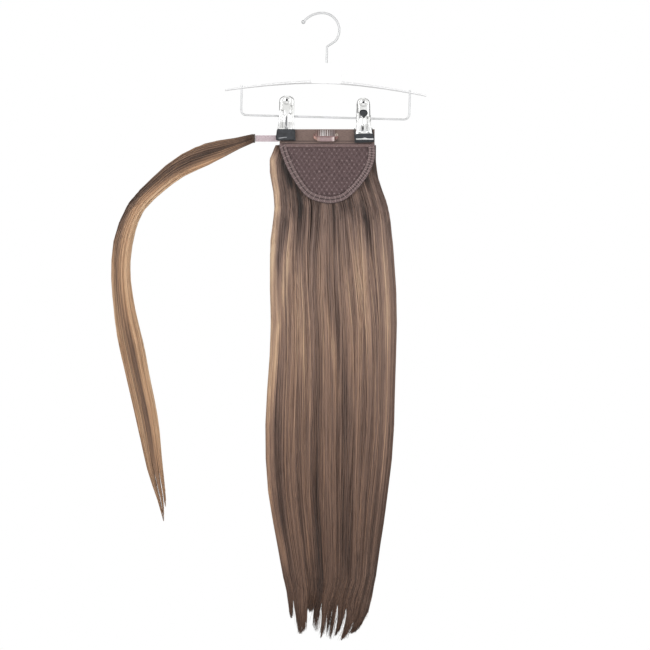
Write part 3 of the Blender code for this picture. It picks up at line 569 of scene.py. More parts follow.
# %% [markdown]
# ## Hair material
#
# The hair is a synthetic fibre, spun in several browns and mixed, so neighbours differ. The
# ramp runs from the dark of a shadowed strand to the pale gold of a highlighted one. Fine
# noise along the strand breaks up the shine, and a faint tint warms the hair lower down.
# Fibre is smooth plastic, so it is fairly glossy, with a little sheen.

# %% Hair finish
FLECK_SHARE = 0.22      # how far the noise moves the tone
TINT_FROM, TINT_TO = -0.26, -0.58      # heights in metres


def hair_finish(name, stops, foot_tint):
    made, tree = new_material(name, IOR=1.55, Sheen_Weight=0.06, Sheen_Roughness=0.4)
    tone = add_node(tree, "ShaderNodeAttribute", {"attribute_name": "tone"})
    fleck = noise(tree, place_on(tree, (1, 1, 0.06)), 1400.0)
    shift = add_node(
        tree, "ShaderNodeMath", {"operation": "MULTIPLY_ADD", 1: FLECK_SHARE, 2: -FLECK_SHARE / 2},
        {0: fleck},
    )
    mixed = add_node(
        tree, "ShaderNodeMath", {"operation": "ADD"}, {0: tone.outputs["Fac"], 1: shift.outputs[0]}
    )
    lower = share_along(tree, place_on(tree), "Z", TINT_FROM, TINT_TO)
    tint = colour_ramp(tree, lower, ((0.0, "#fbf8f8"), (1.0, foot_tint)))
    feed(tree, "Base Color", blended(tree, colour_ramp(tree, mixed.outputs[0], stops), tint))
    feed(tree, "Roughness", spread(tree, fleck, 0.32, 0.54))
    return made


brown_hair = hair_finish("mixed brown synthetic fibre", (
    (0.00, "#2a1d17"), (0.25, "#5c463b"), (0.50, "#8d7569"), (0.75, "#ba9a84"), (1.00, "#e6caa8"),
), "#f5e6d6")
golden_hair = hair_finish("mixed caramel synthetic fibre", (
    (0.00, "#33261c"), (0.25, "#6b5344"), (0.50, "#a5846a"), (0.75, "#d3aa84"), (1.00, "#f3d4ad"),
), "#fffcfb")
print("hair finishes", brown_hair.name, "and", golden_hair.name)

# %% [markdown]
# ## How the locks fall
#
# Straight hair still gathers into locks. Each lock has a place across the tail, a slow sway
# and a tone of its own, and many fan out as they leave the cap. The random draws are seeded,
# so that the hair is the same each time.

# %% Locks
MOST_SWAY, FAN_SHARE = 2.0 * MM, 0.65      # how far a lock sways, and how many fan out
chance = np.random.default_rng(20)
wisp_chance = np.random.default_rng(31)


def smooth_step(value, low, high):
    share = np.clip((value - low) / (high - low), 0.0, 1.0)
    return share * share * (3 - 2 * share)


def make_locks(count):
    """A dictionary of arrays, one entry to a lock, in order across the tail."""
    places = np.linspace(-1, 1, count) + chance.uniform(-0.9, 0.9, count) / count
    return {
        "place": np.clip(places, -1.0, 1.0),
        "sway": chance.uniform(0.3, 1.0, count) * MOST_SWAY,
        "phase": chance.uniform(0, math.tau, count),
        "waves": chance.uniform(0.7, 1.5, count),
        "depth": chance.uniform(0.0, 1.0, count),
        "fan": (chance.uniform(0, 1, count) < FAN_SHARE) * chance.uniform(0.7, 1.0, count),
        "tone": chance.normal(0.0, 0.055, count),
    }


# %% [markdown]
# ## Ten tips
#
# The tail stays dense almost to its end. Over the last few centimetres it parts into ten
# uneven tips: two point nearly straight down at the left, and the others sweep across in
# curves. Each row below is one of them: the stretch of the tail that it takes, where its
# middle is and how wide it is partway down, and the same at its end. The last number is
# the share of its strands that reach that far: the rest stop higher up. A few strands
# anywhere are shorter still.

# %% Tips
SHORT_SHARE = 0.10
PARTING, PARTWAY = 0.902, 0.944      # shares of the hair below the cap
TIPS = np.array((
    # from x, to x, partway x and width, end x and width, in mm, end share, strands reaching
    (-38.5, -32.5, -34.2, 2.6, -34.4, 0.8, 0.950, 0.75),
    (-32.5, -17.3, -23.2, 11.0, -24.2, 4.6, 0.985, 0.80),
    (-17.3, -8.8, -13.2, 8.0, -13.6, 7.4, 0.936, 0.90),
    (-8.8, -2.0, -6.8, 6.8, -6.6, 6.4, 0.982, 0.22),
    (-2.0, 5.0, 1.7, 4.6, -2.3, 1.4, 0.995, 0.45),
    (5.0, 10.5, 7.2, 3.5, 4.2, 1.4, 0.984, 0.35),
    (10.5, 15.5, 12.2, 3.0, 7.7, 1.0, 0.999, 0.35),
    (15.5, 26.0, 20.9, 5.2, 13.2, 1.5, 0.991, 0.40),
    (26.0, 38.0, 30.9, 8.6, 20.4, 2.0, 1.000, 0.60),
    (38.0, 55.0, 42.9, 11.6, 30.8, 4.4, 0.985, 0.70),
))


def find_tips(place):
    """Each strand's row of TIPS, its share across that tip from -1 to 1, and its drop."""
    left, right, _, _ = tail_section(CAP_DEPTH + below_cap * PARTING)
    at = (left + right + (right - left) * place) / 2 / MM
    at = at + chance.normal(0, 0.7, len(place))
    tip = np.searchsorted(TIPS[1:, 0], at)
    low, high = TIPS[tip, 0], TIPS[tip, 1]
    across = np.clip((at - low) / (high - low), 0, 1) * 2 - 1
    end = TIPS[tip, 6] - chance.exponential(0.017, len(place)) - 0.010 * np.abs(across) ** 2
    stops_high = chance.uniform(0, 1, len(place)) > TIPS[tip, 7]
    end = np.where(stops_high, np.minimum(end, chance.uniform(0.905, 0.955, len(place))), end)
    end -= (chance.uniform(0, 1, len(place)) < SHORT_SHARE) * chance.uniform(0.0, 0.14, len(place))
    return tip, across, CAP_DEPTH + below_cap * end


def tip_course(tip, across, share):
    """Where a strand of that tip is across the tail, past the place where the hair parts."""
    low, high, middle, wide, end_middle, end_wide, end, _ = TIPS[tip].T[:, :, None]
    first = (share - PARTING) / (PARTWAY - PARTING)
    rest = np.clip((share - PARTWAY) / (end - PARTWAY), 0, 1.2)
    start_x = (low + high) / 2 + across[:, None] * (high - low) / 2
    partway_x = middle + across[:, None] * wide / 2
    end_x = end_middle + across[:, None] * end_wide / 2
    bend = (partway_x - start_x) * 0.35
    upper = start_x + (partway_x - start_x - bend) * first + bend * first**2
    slope = (partway_x - start_x + bend) * (end - PARTWAY) / (PARTWAY - PARTING)
    lower = partway_x + slope * rest + (end_x - partway_x - slope) * rest**2
    return np.where(first < 1, upper, lower) * MM


# %% [markdown]
# ## Paths of the strands
#
# A strand starts under the cap's top and keeps its share of the tail's width on the way
# down. The fan of its lock, the sway and a small wave of its own move it aside, until it
# joins its tip. Its depth is a share of the section's, so some strands lie at the surface
# and others under it.

# %% Paths of the strands
PACE = ((0.0, 0.0), (0.25, 0.16), (0.65, 0.74), (1.0, 1.0))      # points crowd at both ends
POINTS = 21      # along each strand
ROOTS_OVER, LEAN, FAN_REACH = 5 * MM, 7 * MM, 0.26      # LEAN moves the middle to the right
WISP_SHARE, WISP_SPREAD = 0.22, 3.4      # hairs that leave their tip, and how much further


def lay_strands(locks, count, face, reach):
    """Paths and tones for strands on the front (face -1) or back (1) of the tail."""
    lock = chance.integers(0, len(locks["place"]), count)
    sway, phase, waves, depth = (
        locks[key][lock][:, None] for key in ("sway", "phase", "waves", "depth")
    )
    offset = chance.normal(0, 0.55, count) * 2.0 / len(locks["place"])
    place = np.clip(locks["place"][lock] + offset, -0.998, 0.998)
    tip, tip_across, end = find_tips(place)
    start = chance.uniform(0.0, 1.0, count) ** 2 * ROOTS_OVER
    t = np.interp(np.linspace(0, 1, POINTS), *zip(*PACE))[None, :]
    drop = start[:, None] + (end - start)[:, None] * t
    left, right, front, back = tail_section(drop)
    middle_x, half_x = (left + right) / 2, (right - left) / 2 + 0.5 * MM
    closed = 1 - smooth_step(drop, 0.05, 0.21)
    fan = FAN_REACH * locks["fan"][lock] * (1 - smooth_step(np.abs(place), 0.55, 0.85))
    now = place[:, None] * (1 - fan[:, None] * closed)
    down = drop / TAIL_LENGTH
    sway = sway * np.sin(math.tau * waves * down * 1.6 + phase)
    wave = chance.uniform(0.2, 0.9, count)[:, None] * MM * np.sin(
        math.tau * chance.uniform(1.5, 4.5, count)[:, None] * down
        + chance.uniform(0, math.tau, count)[:, None]
    )
    x = middle_x + half_x * now + LEAN * smooth_step(drop, 0.14, 0.32) * (1 - now**2)
    x += (sway + wave) * (1 - np.abs(now) ** 3) * smooth_step(down, 0.02, 0.25)
    share_below = (drop - CAP_DEPTH) / below_cap
    parted = smooth_step(share_below, PARTING - 0.035, PARTING + 0.022)
    is_wisp = wisp_chance.uniform(0, 1, count) < WISP_SHARE
    stray = (chance.normal(0, 0.75, count) * np.where(is_wisp, WISP_SPREAD, 1.0))[:, None] * MM
    stray = stray * smooth_step(share_below, 0.89, 1.0)
    x += (tip_course(tip, tip_across, share_below) + stray - x) * parted
    inside = 1 - reach * chance.beta(1.2, 2.2, count)[:, None]
    inside = inside - 0.12 * depth * smooth_step(down, 0.05, 0.2)
    share = np.clip(np.abs((x - middle_x) / np.maximum(half_x, 1e-6)), 0, 1)
    bow = (1 - share**2.6) ** 0.5
    middle_y = (front + back) / 2
    y = middle_y + ((front if face < 0 else back) - middle_y) * bow * inside
    tone = 0.50 + locks["tone"][lock] + chance.normal(0, 0.12, count)
    return np.stack((x, y, CAP_TOP_Z - drop), axis=2), np.repeat(tone[:, None], POINTS, axis=1)


def strand_widths(count, points, thick):
    """Thin at the root, full in the middle, and fine at the tip."""
    t = np.linspace(0, 1, points)
    taper = np.minimum(1.0, 0.5 + t * 10) * (1 - smooth_step(t, 0.84, 1.0) * 0.75)
    return chance.uniform(0.7, 1.3, count)[:, None] * thick * taper[None, :]


# %% [markdown]
# ## Streaks of colour
#
# Highlights and low lights run down through many locks. Each streak is a soft line between
# two points of the hanging tail with a width and a strength, where minus is darker. They
# were chosen: a gold edge on the left, caramel at the right, dark parts between. Some dark
# rows are painted shadow: the shade beside and under the cap's binding.

# %% Streaks
STREAKS_AND_SHADOWS = (
    # from x and z, to x and z, half width, all in millimetres, then strength
    (-56, -155, -50, -205, 4.0, 0.42),
    (-50, -205, -56, -262, 3.5, 0.36),
    (-56, -262, -59, -430, 4.0, 0.34),
    (-61, -430, -59, -535, 3.5, 0.28),
    (-59, -535, -42, -600, 3.5, 0.26),
    (-34, -237, -42, -290, 3.0, 0.26),
    (-42, -290, -51, -370, 3.0, 0.28),
    (-51, -370, -56, -430, 3.0, 0.20),
    # painted shadow: the next three rows, beside and below the binding on the left
    (-46, -152, -37, -177, 2.4, -0.46),
    (-37, -177, -22, -205, 2.4, -0.46),
    (-25, -208, -25, -222, 2.0, -0.30),
    (-32, -212, -46, -242, 2.4, -0.30),
    (-46, -242, -51, -280, 2.8, -0.30),
    (-40, -185, -35, -215, 2.0, 0.16),
    (-24, -200, -23, -250, 4.0, -0.20),
    (-36, -290, -42, -400, 4.0, -0.10),
    (-52, -420, -44, -560, 4.0, -0.16),
    # painted shadow: the next four rows, along the binding and under the cap's edge
    (-44, -155, -38, -195, 4.0, -0.30),
    (12, -214, 13, -226, 2.5, -0.26),
    (20, -207, 31, -207, 3.0, -0.30),
    (56, -164, 42, -188, 2.2, -0.42),
    (42, -210, 53, -242, 2.8, -0.38),
    (40, -243, 43, -290, 5.5, 0.28),
    (34, -196, 42, -212, 1.6, 0.20),
    (43, -290, 52, -360, 6.0, 0.14),
    (20, -282, 32, -312, 1.8, 0.22),
    (4, -325, 11, -360, 2.0, 0.24),
    (11, -360, 19, -430, 2.0, 0.24),
    (-4, -255, -3, -310, 3.0, 0.10),
    (32, -345, 34, -420, 2.0, 0.12),
    (-26, -290, -22, -380, 5.0, 0.12),
    (-22, -370, -14, -440, 3.0, 0.12),
    (4, -280, 16, -345, 5.0, -0.12),
    (16, -345, 28, -440, 5.0, -0.12),
    (24, -430, 26, -600, 5.0, -0.12),
    (62, -225, 72, -345, 4.5, 0.14),
    (58, -290, 60, -400, 4.0, -0.12),
    (70, -400, 66, -520, 3.0, 0.10),
    (-18, -480, -15, -600, 2.5, 0.14),
    (8, -470, 12, -600, 2.5, 0.08),
    (44, -480, 40, -580, 2.5, 0.10),
    (-8, -520, -4, -640, 4.0, -0.08),
)


def streaked_and_shaded(paths, tones):
    """Adds the streaks with their painted shadows, darkens the greyish roots under the cap as painted
    shade, and makes the slow change to dark ends.
    """
    x, z = paths[..., 0] / MM, paths[..., 2] / MM
    tones = tones.copy()
    for x0, z0, x1, z1, half, strength in STREAKS_AND_SHADOWS:
        run = np.array((x1 - x0, z1 - z0), float)
        share = np.clip(((x - x0) * run[0] + (z - z0) * run[1]) / (run @ run), 0, 1)
        away = np.hypot(x - x0 - share * run[0], (z - z0 - share * run[1]) * 0.35)
        tones += strength * np.exp(-((away / half) ** 2))
    tones += 0.11 * smooth_step(-z, 235, 280) * (1 - smooth_step(-z, 330, 480))
    tones -= 0.20 * smooth_step(-z, 400, 640)
    # painted shade: hair under the cap and just below it is darkened
    tones -= 0.10 * (1 - smooth_step(-z, 205, 250)) * (np.abs(x - 8) < 62)
    return tones


# %% [markdown]
# ## Inner mass
#
# Between the outer strands one sees more hair, in shadow. A closed core stands for it. A
# disc is shaped to the top section, then extruded down section by section, each one moved
# and resized, a little smaller than the hair around it.

# %% Core of the tail
CORE_SHARE, CORE_DEEP_SHARE, CORE_SET_BACK = 0.86, 0.84, 0.8 * MM
CORE_DROPS = (0.004, 0.02, 0.045, 0.066, 0.10, 0.16, 0.24, 0.32, 0.38, 0.42, 0.445)


def core_section(drop):
    """The core's middle at that drop, and half its width and depth."""
    left, right, front, back = (float(value) for value in tail_section(drop))
    middle = Vector(((left + right) / 2, (front + back) / 2 + CORE_SET_BACK, CAP_TOP_Z - drop))
    return middle, (right - left) / 2 * CORE_SHARE, (back - front) / 2 * CORE_SHARE * CORE_DEEP_SHARE


start_clean()
middle_at, half_across, half_deep = core_section(CORE_DROPS[0])
bpy.ops.mesh.primitive_circle_add(vertices=32, radius=1.0, fill_type="NGON", location=middle_at)
core = bpy.context.active_object
edit_all()
bpy.ops.transform.resize(value=(half_across, half_deep, 1.0), center_override=middle_at)
for drop in CORE_DROPS[1:]:
    below, across_now, deep_now = core_section(drop)
    if drop == CORE_DROPS[-1]:
        across_now, deep_now = across_now * 0.6, deep_now * 0.5
    extrude(below - middle_at)
    bpy.ops.transform.resize(
        value=(across_now / half_across, deep_now / half_deep, 1.0), center_override=below
    )
    middle_at, half_across, half_deep = below, across_now, deep_now
face_outwards()
apply_modifier(core, "SUBSURF", levels=1, render_levels=1)
bpy.ops.object.shade_smooth()
shadow_hair, tree = new_material("shadowed inner fibre", Roughness=0.6)
fibres = noise(tree, place_on(tree, (1, 1, 0.03)), 900.0, 4.0)
feed(tree, "Base Color", colour_ramp(tree, fibres, ((0.3, "#2b1e18"), (0.5, "#4b382e"), (0.7, "#735a4b"))))
feed(tree, "Normal", relief(tree, fibres, 0.8, 0.6))
finish_piece(core, "tail_core", shadow_hair, ("hair_tail",))

# %% [markdown]
# ## Outer strands of the tail
#
# The front is seen closest, so it has the most strands. A second, sparser set covers the
# back and the sides. Each set is cut into pieces of under 200,000 triangles, left to right.

# %% Strands of the tail
HAIR_SETS = (
    # name, locks, strands, side, how deep they reach in, width in mm, pieces
    ("tail_front", 38, 3900, -1, 0.45, 0.72, 3),
    ("tail_back", 30, 1700, 1, 0.35, 0.95, 2),
)
for name, lock_count, count, face, reach, thick, pieces in HAIR_SETS:
    paths, tones = lay_strands(make_locks(lock_count), count, face, reach)
    widths, tones = strand_widths(count, POINTS, thick * MM), streaked_and_shaded(paths, tones)
    order = np.argsort(paths[:, POINTS // 2, 0])
    for number, chosen in enumerate(np.array_split(order, pieces), 1):
        label = f"{name}_{number}"
        hair = strands_object(label, paths[chosen], widths[chosen], tones[chosen])
        finish_piece(hair, label, brown_hair, ("hair_tail",))

# %% [markdown]
# ## The cap's outline
#
# The cap is a half round of net with a corded binding. These rows are its edge, as in the
# solid. Two small functions follow: one gives points round the edge, and one moves such a
# line inwards. A third maps a unit disc onto the shallow dish that fills the binding.

# %% Outline of the cap
CAP_BULGE, BINDING_WIDTH = 3.6 * MM, 7.6 * MM
CAP_ROWS = np.array((
    # drop, left, right
    (0.000, 0.985, 0.990), (0.110, 0.952, 1.000), (0.250, 0.893, 0.985), (0.390, 0.820, 0.930),
    (0.530, 0.735, 0.845), (0.665, 0.632, 0.725), (0.785, 0.530, 0.600), (0.885, 0.415, 0.465),
    (0.955, 0.265, 0.350), (1.000, -0.010, 0.130),
))


def cap_edge(count):
    """Points round the curved edge, top left to top right, at equal steps."""
    down = CAP_TOP_Z - CAP_DEPTH * CAP_ROWS[:, 0]
    left = np.stack((CAP_X - CAP_HALF_WIDTH * CAP_ROWS[:, 1], down), axis=1)
    right = np.stack((CAP_X + CAP_HALF_WIDTH * CAP_ROWS[:, 2], down), axis=1)
    line = np.concatenate((left, right[::-1]))
    for _ in range(3):
        near = np.empty((len(line) * 2 - 2, 2))
        near[0::2] = line[:-1] * 0.75 + line[1:] * 0.25
        near[1::2] = line[:-1] * 0.25 + line[1:] * 0.75
        line = np.concatenate((line[:1], near, line[-1:]))
    reach = np.concatenate(((0.0,), np.cumsum(np.linalg.norm(np.diff(line, axis=0), axis=1))))
    steps = np.linspace(0, reach[-1], count)
    return np.stack([np.interp(steps, reach, line[:, c]) for c in (0, 1)], axis=1)


def inwards(line, distance):
    """The edge line moved towards the middle of the cap, its ends kept at their height."""
    along = np.gradient(line, axis=0)
    along /= np.linalg.norm(along, axis=1, keepdims=True)
    step = np.stack((-along[:, 1], along[:, 0]), axis=1)
    step[0], step[-1] = (1.0, 0.0), (-1.0, 0.0)
    return line + step * distance


net_rim = inwards(cap_edge(90), BINDING_WIDTH * 0.8)
net_middle = np.array((CAP_X, CAP_TOP_Z - CAP_DEPTH * 0.40))
rim_angle = np.unwrap(np.arctan2(*(net_rim - net_middle).T[::-1]))
rim_reach = np.linalg.norm(net_rim - net_middle, axis=1)
top_z = net_rim[0, 1]


def share_of_rim(x, z):
    """0 in the middle of the net and 1 on its rim, the straight top edge included."""
    dx, dz = x - net_middle[0], z - net_middle[1]
    angle = np.arctan2(dz, dx)
    angle = np.where(angle < rim_angle[0], angle + math.tau, angle)
    angle = np.where(angle > rim_angle[0] + math.tau, angle - math.tau, angle)
    reach = np.interp(angle, rim_angle, rim_reach)
    over_top = angle > rim_angle[-1]
    flat = np.where(over_top, dz / (top_z - net_middle[1]), np.hypot(dx, dz) / reach)
    return flat


def net_y(x, z, lift):
    """Height of the dish's front, with lift more towards the viewer."""
    share = np.clip(share_of_rim(x, z), 0, 1)
    return -(0.35 * MM + CAP_BULGE * (1 - share**2) + lift)


print("edge", round(float(np.linalg.norm(np.diff(cap_edge(90), axis=0), axis=1).sum()) / MM), "mm")

# %% [markdown]
# ## Textile finish
#
# Net thread, binding, ribbon and stitching are all spun polyester. Each has its own brown,
# but the same build: a fine fibre relief, slow change of tone, and a soft sheen from fibre
# ends that catch the light at a grazing angle.

# %% Spun polyester
def textile(name, dark, light, fibre_mm, strength, sheen=0.3, stretch=(1, 1, 1)):
    made, tree = new_material(name, Roughness=0.8, Sheen_Weight=sheen, Sheen_Roughness=0.5)
    fibre = noise(tree, place_on(tree, stretch), 1 / (fibre_mm * MM), 3.0)
    feed(tree, "Base Color", colour_ramp(tree, fibre, ((0.3, dark), (0.7, light))))
    feed(tree, "Normal", relief(tree, fibre, strength, 0.2))
    return made


# the dark sheet behind the net is painted shade
shade_sheet_cloth = textile("dark sheet behind the net, painted shade", "#4a3838", "#655051", 2.6, 0.5)
net_thread = textile("brown net thread", "#564243", "#735f5f", 1.6, 0.4)
# the knots' pale colour is a painted highlight
knot_painted_highlight = textile("net knot, painted highlight", "#6d5958", "#9d8987", 5.0, 0.3)
stitch_thread = textile("sewing thread", "#a38e8c", "#bda9a7", 0.5, 0.3)
dark_thread = textile("dark sewing thread", "#352725", "#4d3b39", 0.5, 0.3)

# %% [markdown]
# ## Dark sheet behind the net
#
# Behind the open net lies a dark sheet whose colour is painted shade, which is why the gaps
# between the threads read as shadow. It starts as a circle, which is extruded inwards ring
# by ring and merged in the middle. Each point of that unit disc is then laid on the cap's
# dish, and Solidify gives the sheet its thickness.

# %% Dark sheet behind the net
start_clean()
bpy.ops.mesh.primitive_circle_add(vertices=72, radius=1.0, location=(0, 0, 0))
shade_sheet = bpy.context.active_object
edit_all()
for shrink in (0.86, 0.80, 0.72, 0.60, 0.40):
    extrude((0, 0, 0))
    bpy.ops.transform.resize(value=(shrink, shrink, 1.0), center_override=(0, 0, 0))
extrude((0, 0, 0))
bpy.ops.mesh.merge(type="CENTER")
bpy.ops.object.mode_set(mode="OBJECT")
outline = np.concatenate((net_rim, np.linspace(net_rim[-1], net_rim[0], 40)[1:-1]))
outline_angle = np.unwrap(np.arctan2(*(outline - net_middle).T[::-1]))
outline_reach = np.linalg.norm(outline - net_middle, axis=1)
for vertex in shade_sheet.data.vertices:
    angle = math.atan2(vertex.co.y, vertex.co.x)
    angle += math.tau * (angle < outline_angle[0])
    reach = np.interp(angle, outline_angle, outline_reach, period=math.tau)
    reach *= math.hypot(vertex.co.x, vertex.co.y)
    x = net_middle[0] + reach * math.cos(angle)
    z = net_middle[1] + reach * math.sin(angle)
    vertex.co = (x, float(net_y(x, z, 0.0)), z)
make_active(shade_sheet)
edit_all()
face_outwards()
apply_modifier(shade_sheet, "SOLIDIFY", thickness=0.4 * MM, offset=0.0)
bpy.ops.object.shade_smooth()
finish_piece(shade_sheet, "cap_shade_sheet", shade_sheet_cloth, ("cap_net",))

# %% [markdown]
# ## Net threads
#
# The net is knotted from two sets of slanting threads, so its holes are diamonds 5.5 mm wide
# and 8 mm high. A grid turned by 45 degrees and stretched gives exactly that pattern. What
# falls outside the cap is deleted, the rest is laid on the dish, and a Wireframe modifier
# turns its edges into thread.

# %% Diamond net
DIAMOND_WIDTH, DIAMOND_HEIGHT, THREAD = 5.5 * MM, 8.0 * MM, 0.50 * MM
NET_CELLS, NET_REACH, NET_LIFT = 34, 1.06, 0.55 * MM
net_centre = (float(net_middle[0]), 0.0, float(net_middle[1]))
start_clean()
bpy.ops.mesh.primitive_grid_add(
    x_subdivisions=NET_CELLS, y_subdivisions=NET_CELLS, size=1.0,
    location=net_centre, rotation=(QUARTER, 0, 0),
)
net = bpy.context.active_object
edit_all()
bpy.ops.transform.rotate(value=math.radians(45), orient_axis="Y", center_override=net_centre)
stretch = NET_CELLS / math.sqrt(2)
bpy.ops.transform.resize(
    value=(DIAMOND_WIDTH * stretch, 1.0, DIAMOND_HEIGHT * stretch), center_override=net_centre
)
bpy.ops.mesh.select_all(action="DESELECT")
shape = bmesh.from_edit_mesh(net.data)
for vertex in shape.verts:
    spot = net.matrix_world @ vertex.co
    vertex.select = bool(share_of_rim(np.array(spot.x), np.array(spot.z)) > NET_REACH)
shape.select_flush_mode()
bmesh.update_edit_mesh(net.data)
bpy.ops.mesh.delete(type="VERT")
bpy.ops.object.mode_set(mode="OBJECT")
make_active(net)
apply_place()
for vertex in net.data.vertices:
    vertex.co.y = float(net_y(np.array(vertex.co.x), np.array(vertex.co.z), NET_LIFT))
net_knots = np.array([vertex.co for vertex in net.data.vertices])
apply_modifier(net, "WIREFRAME", thickness=THREAD, use_even_offset=False)
apply_modifier(net, "SUBSURF", levels=1, render_levels=1)
bpy.ops.object.shade_smooth()
finish_piece(net, "cap_net_threads", net_thread, ("cap_net",))
print("knots", len(net_knots))

# %% [markdown]
# ## Many copies in one mesh
#
# Knots and stitches repeat by the hundred. Each is modelled once, and this helper lays
# copies of it at the given places, turned by the given angle in the plane of the cap, all
# in one mesh.

# %% Copies
def lay_copies(name, source, places, turns, sizes=None):
    """Copies the source at (x, y, z) places, turned about Y. The source itself is removed."""
    make_active(source)
    apply_place()
    points = np.array([vertex.co for vertex in source.data.vertices])
    faces = [tuple(face.vertices) for face in source.data.polygons]
    all_points, all_faces = [], []
    sizes = np.ones(len(places)) if sizes is None else sizes
    for number, (spot, turn, size) in enumerate(zip(places, turns, sizes)):
        cos, sin = math.cos(turn), math.sin(turn)
        x, y, z = (points * size).T
        all_points.append(np.stack((x * cos + z * sin, y, z * cos - x * sin), axis=1) + spot)
        all_faces += [tuple(v + number * len(points) for v in face) for face in faces]
    mesh = bpy.data.meshes.new(name)
    mesh.from_pydata(np.concatenate(all_points).tolist(), [], all_faces)
    mesh.shade_smooth()
    bpy.data.objects.remove(source, do_unlink=True)
    return add_object(name, mesh)


# %% [markdown]
# ## Knots
#
# Where two threads cross, the knot makes a small dash, which lies level. Its pale colour is a
# painted highlight. It is an icosphere, pressed flat and pulled wide.

# %% Knots
KNOT_FORWARD = -0.20 * MM
start_clean()
bpy.ops.mesh.primitive_ico_sphere_add(subdivisions=1, radius=0.62 * MM)
knot = bpy.context.active_object
edit_all()
bpy.ops.transform.resize(value=(2.00, 0.60, 0.72), center_override=(0, 0, 0))
bpy.ops.mesh.subdivide(number_cuts=1, smoothness=1.0)
bpy.ops.object.mode_set(mode="OBJECT")
inside_net = share_of_rim(net_knots[:, 0], net_knots[:, 2]) < 0.98
spots = net_knots[inside_net] + (0, KNOT_FORWARD, 0)
knots = lay_copies(
    "cap_net_knots", knot, spots, chance.uniform(-0.4, 0.4, len(spots)),
    chance.uniform(0.6, 1.15, len(spots)),
)
finish_piece(knots, "cap_net_knots", knot_painted_highlight, ("cap_net",))

# %% [markdown]
# ## Corded binding
#
# The net's edge is bound in a flat tape with two cords that run side by side. One section
# of the tape, with two round humps and a flat back, is carried along the edge. The mesh
# keeps the length along the edge and the place across as its UV map, so that the twist of
# the cords follows the curve.

# %% A lofted strip
def loft_strip(name, rings, lengths, widths):
    """A closed solid through equal rings of points, with a UV map in metres."""
    ring_size = len(rings[0])
    last_ring = (len(rings) - 1) * ring_size
    faces = []
    for a in range(0, last_ring, ring_size):
        b = a + ring_size
        for i in range(ring_size):
            j = (i + 1) % ring_size
            faces.append((a + i, a + j, b + j, b + i))
    faces.append(tuple(range(ring_size))[::-1])
    faces.append(tuple(range(last_ring, last_ring + ring_size)))
    mesh = bpy.data.meshes.new(name)
    mesh.from_pydata(np.concatenate(rings).tolist(), [], faces)
    uv = mesh.uv_layers.new(name="strip")
    for loop in mesh.loops:
        row, i = divmod(loop.vertex_index, ring_size)
        uv.data[loop.index].uv = (lengths[row], widths[i])
    strip = add_object(name, mesh)
    make_active(strip)
    edit_all()
    face_outwards()
    smooth_below(50)
    return strip


# %% Binding
CORDS = ((1.75, 1.60, 1.30), (5.75, 1.65, 1.20))      # from the edge, half width and rise, in mm
TAPE_WIDE, TAPE_Y = 7.6, 0.9      # the flat tape under the cords, in mm
EDGE_STEPS = 120
TWIST_SLANT, TWIST_SPACING = math.radians(35), 1.5 * MM
across_mm = np.linspace(0, TAPE_WIDE, 31)
rise_mm = np.zeros(31)
for middle_mm, half_mm, high_mm in CORDS:
    inside = np.clip(1 - ((across_mm - middle_mm) / half_mm) ** 2, 0, 1)
    rise_mm = np.maximum(rise_mm, high_mm * np.sqrt(inside))
section_across = np.concatenate((across_mm, (TAPE_WIDE, 0.0))) * MM
section_y = np.concatenate((-TAPE_Y - rise_mm, (TAPE_Y, TAPE_Y))) * MM
edge_line = cap_edge(EDGE_STEPS)
offset_lines = [inwards(edge_line, distance) for distance in section_across]
rings = [
    np.array([(line[i, 0], y, line[i, 1]) for line, y in zip(offset_lines, section_y)])
    for i in range(EDGE_STEPS)
]
edge_length = np.concatenate(((0.0,), np.cumsum(np.linalg.norm(np.diff(edge_line, axis=0), axis=1))))
binding = loft_strip("cap_binding_cords", rings, edge_length, section_across)
corded, tree = new_material("brown corded tape", Roughness=0.8, Sheen_Weight=0.3)
place = add_node(tree, "ShaderNodeUVMap", {"uv_map": "strip"}).outputs[0]
turned = add_node(tree, "ShaderNodeMapping", {"Rotation": (0, 0, TWIST_SLANT)}, {"Vector": place})
twist = add_node(
    tree, "ShaderNodeTexWave",
    {"Scale": math.tau / 20 / TWIST_SPACING, "Distortion": 0.8, "Detail": 2.0, "Detail Scale": 2.0},
    {"Vector": turned.outputs[0]},
).outputs["Fac"]
feed(tree, "Base Color", colour_ramp(tree, twist, ((0.1, "#584545"), (0.8, "#8e7a78"))))
feed(tree, "Normal", relief(tree, twist, 0.6, 0.3))
finish_piece(binding, "cap_binding_cords", corded, ("cap_binding",))

# %% [markdown]
# ## Stitches over the binding
#
# Pale thread crosses the cords every few millimetres. One stitch is a thin rod. Its ends
# are pushed back and its middle stays forward, as thread pulled over a cord lies.

# %% Binding stitches
def make_stitch(length, thick, sag):
    """A thread along X whose ends dip away from the viewer."""
    start_clean()
    bpy.ops.mesh.primitive_cylinder_add(
        vertices=6, radius=thick / 2, depth=length, rotation=(0, QUARTER, 0)
    )
    stitch = bpy.context.active_object
    apply_place()
    bpy.ops.object.mode_set(mode="EDIT")
    for share in (-0.3, 0.0, 0.3):
        bpy.ops.mesh.select_all(action="SELECT")
        bpy.ops.mesh.bisect(plane_co=(share * length, 0, 0), plane_no=(1, 0, 0))
    bpy.ops.object.mode_set(mode="OBJECT")
    for vertex in stitch.data.vertices:
        vertex.co.y += sag * (2 * vertex.co.x / length) ** 2
    return stitch


def along_edge(distances, inside):
    """Spots on the line that runs inside the cap's edge, and the line's turn at each."""
    line = inwards(edge_line, inside)
    steps = np.gradient(line, axis=0)
    x, z, step_x, step_z = (
        np.interp(distances, edge_length, column) for column in (*line.T, *steps.T)
    )
    return x, z, -np.arctan2(step_z, step_x)


def spots_at(x, y, z):
    """Rows of x, y and z, where each is an array or a single number."""
    return np.stack(np.broadcast_arrays(x, y, z), axis=1)


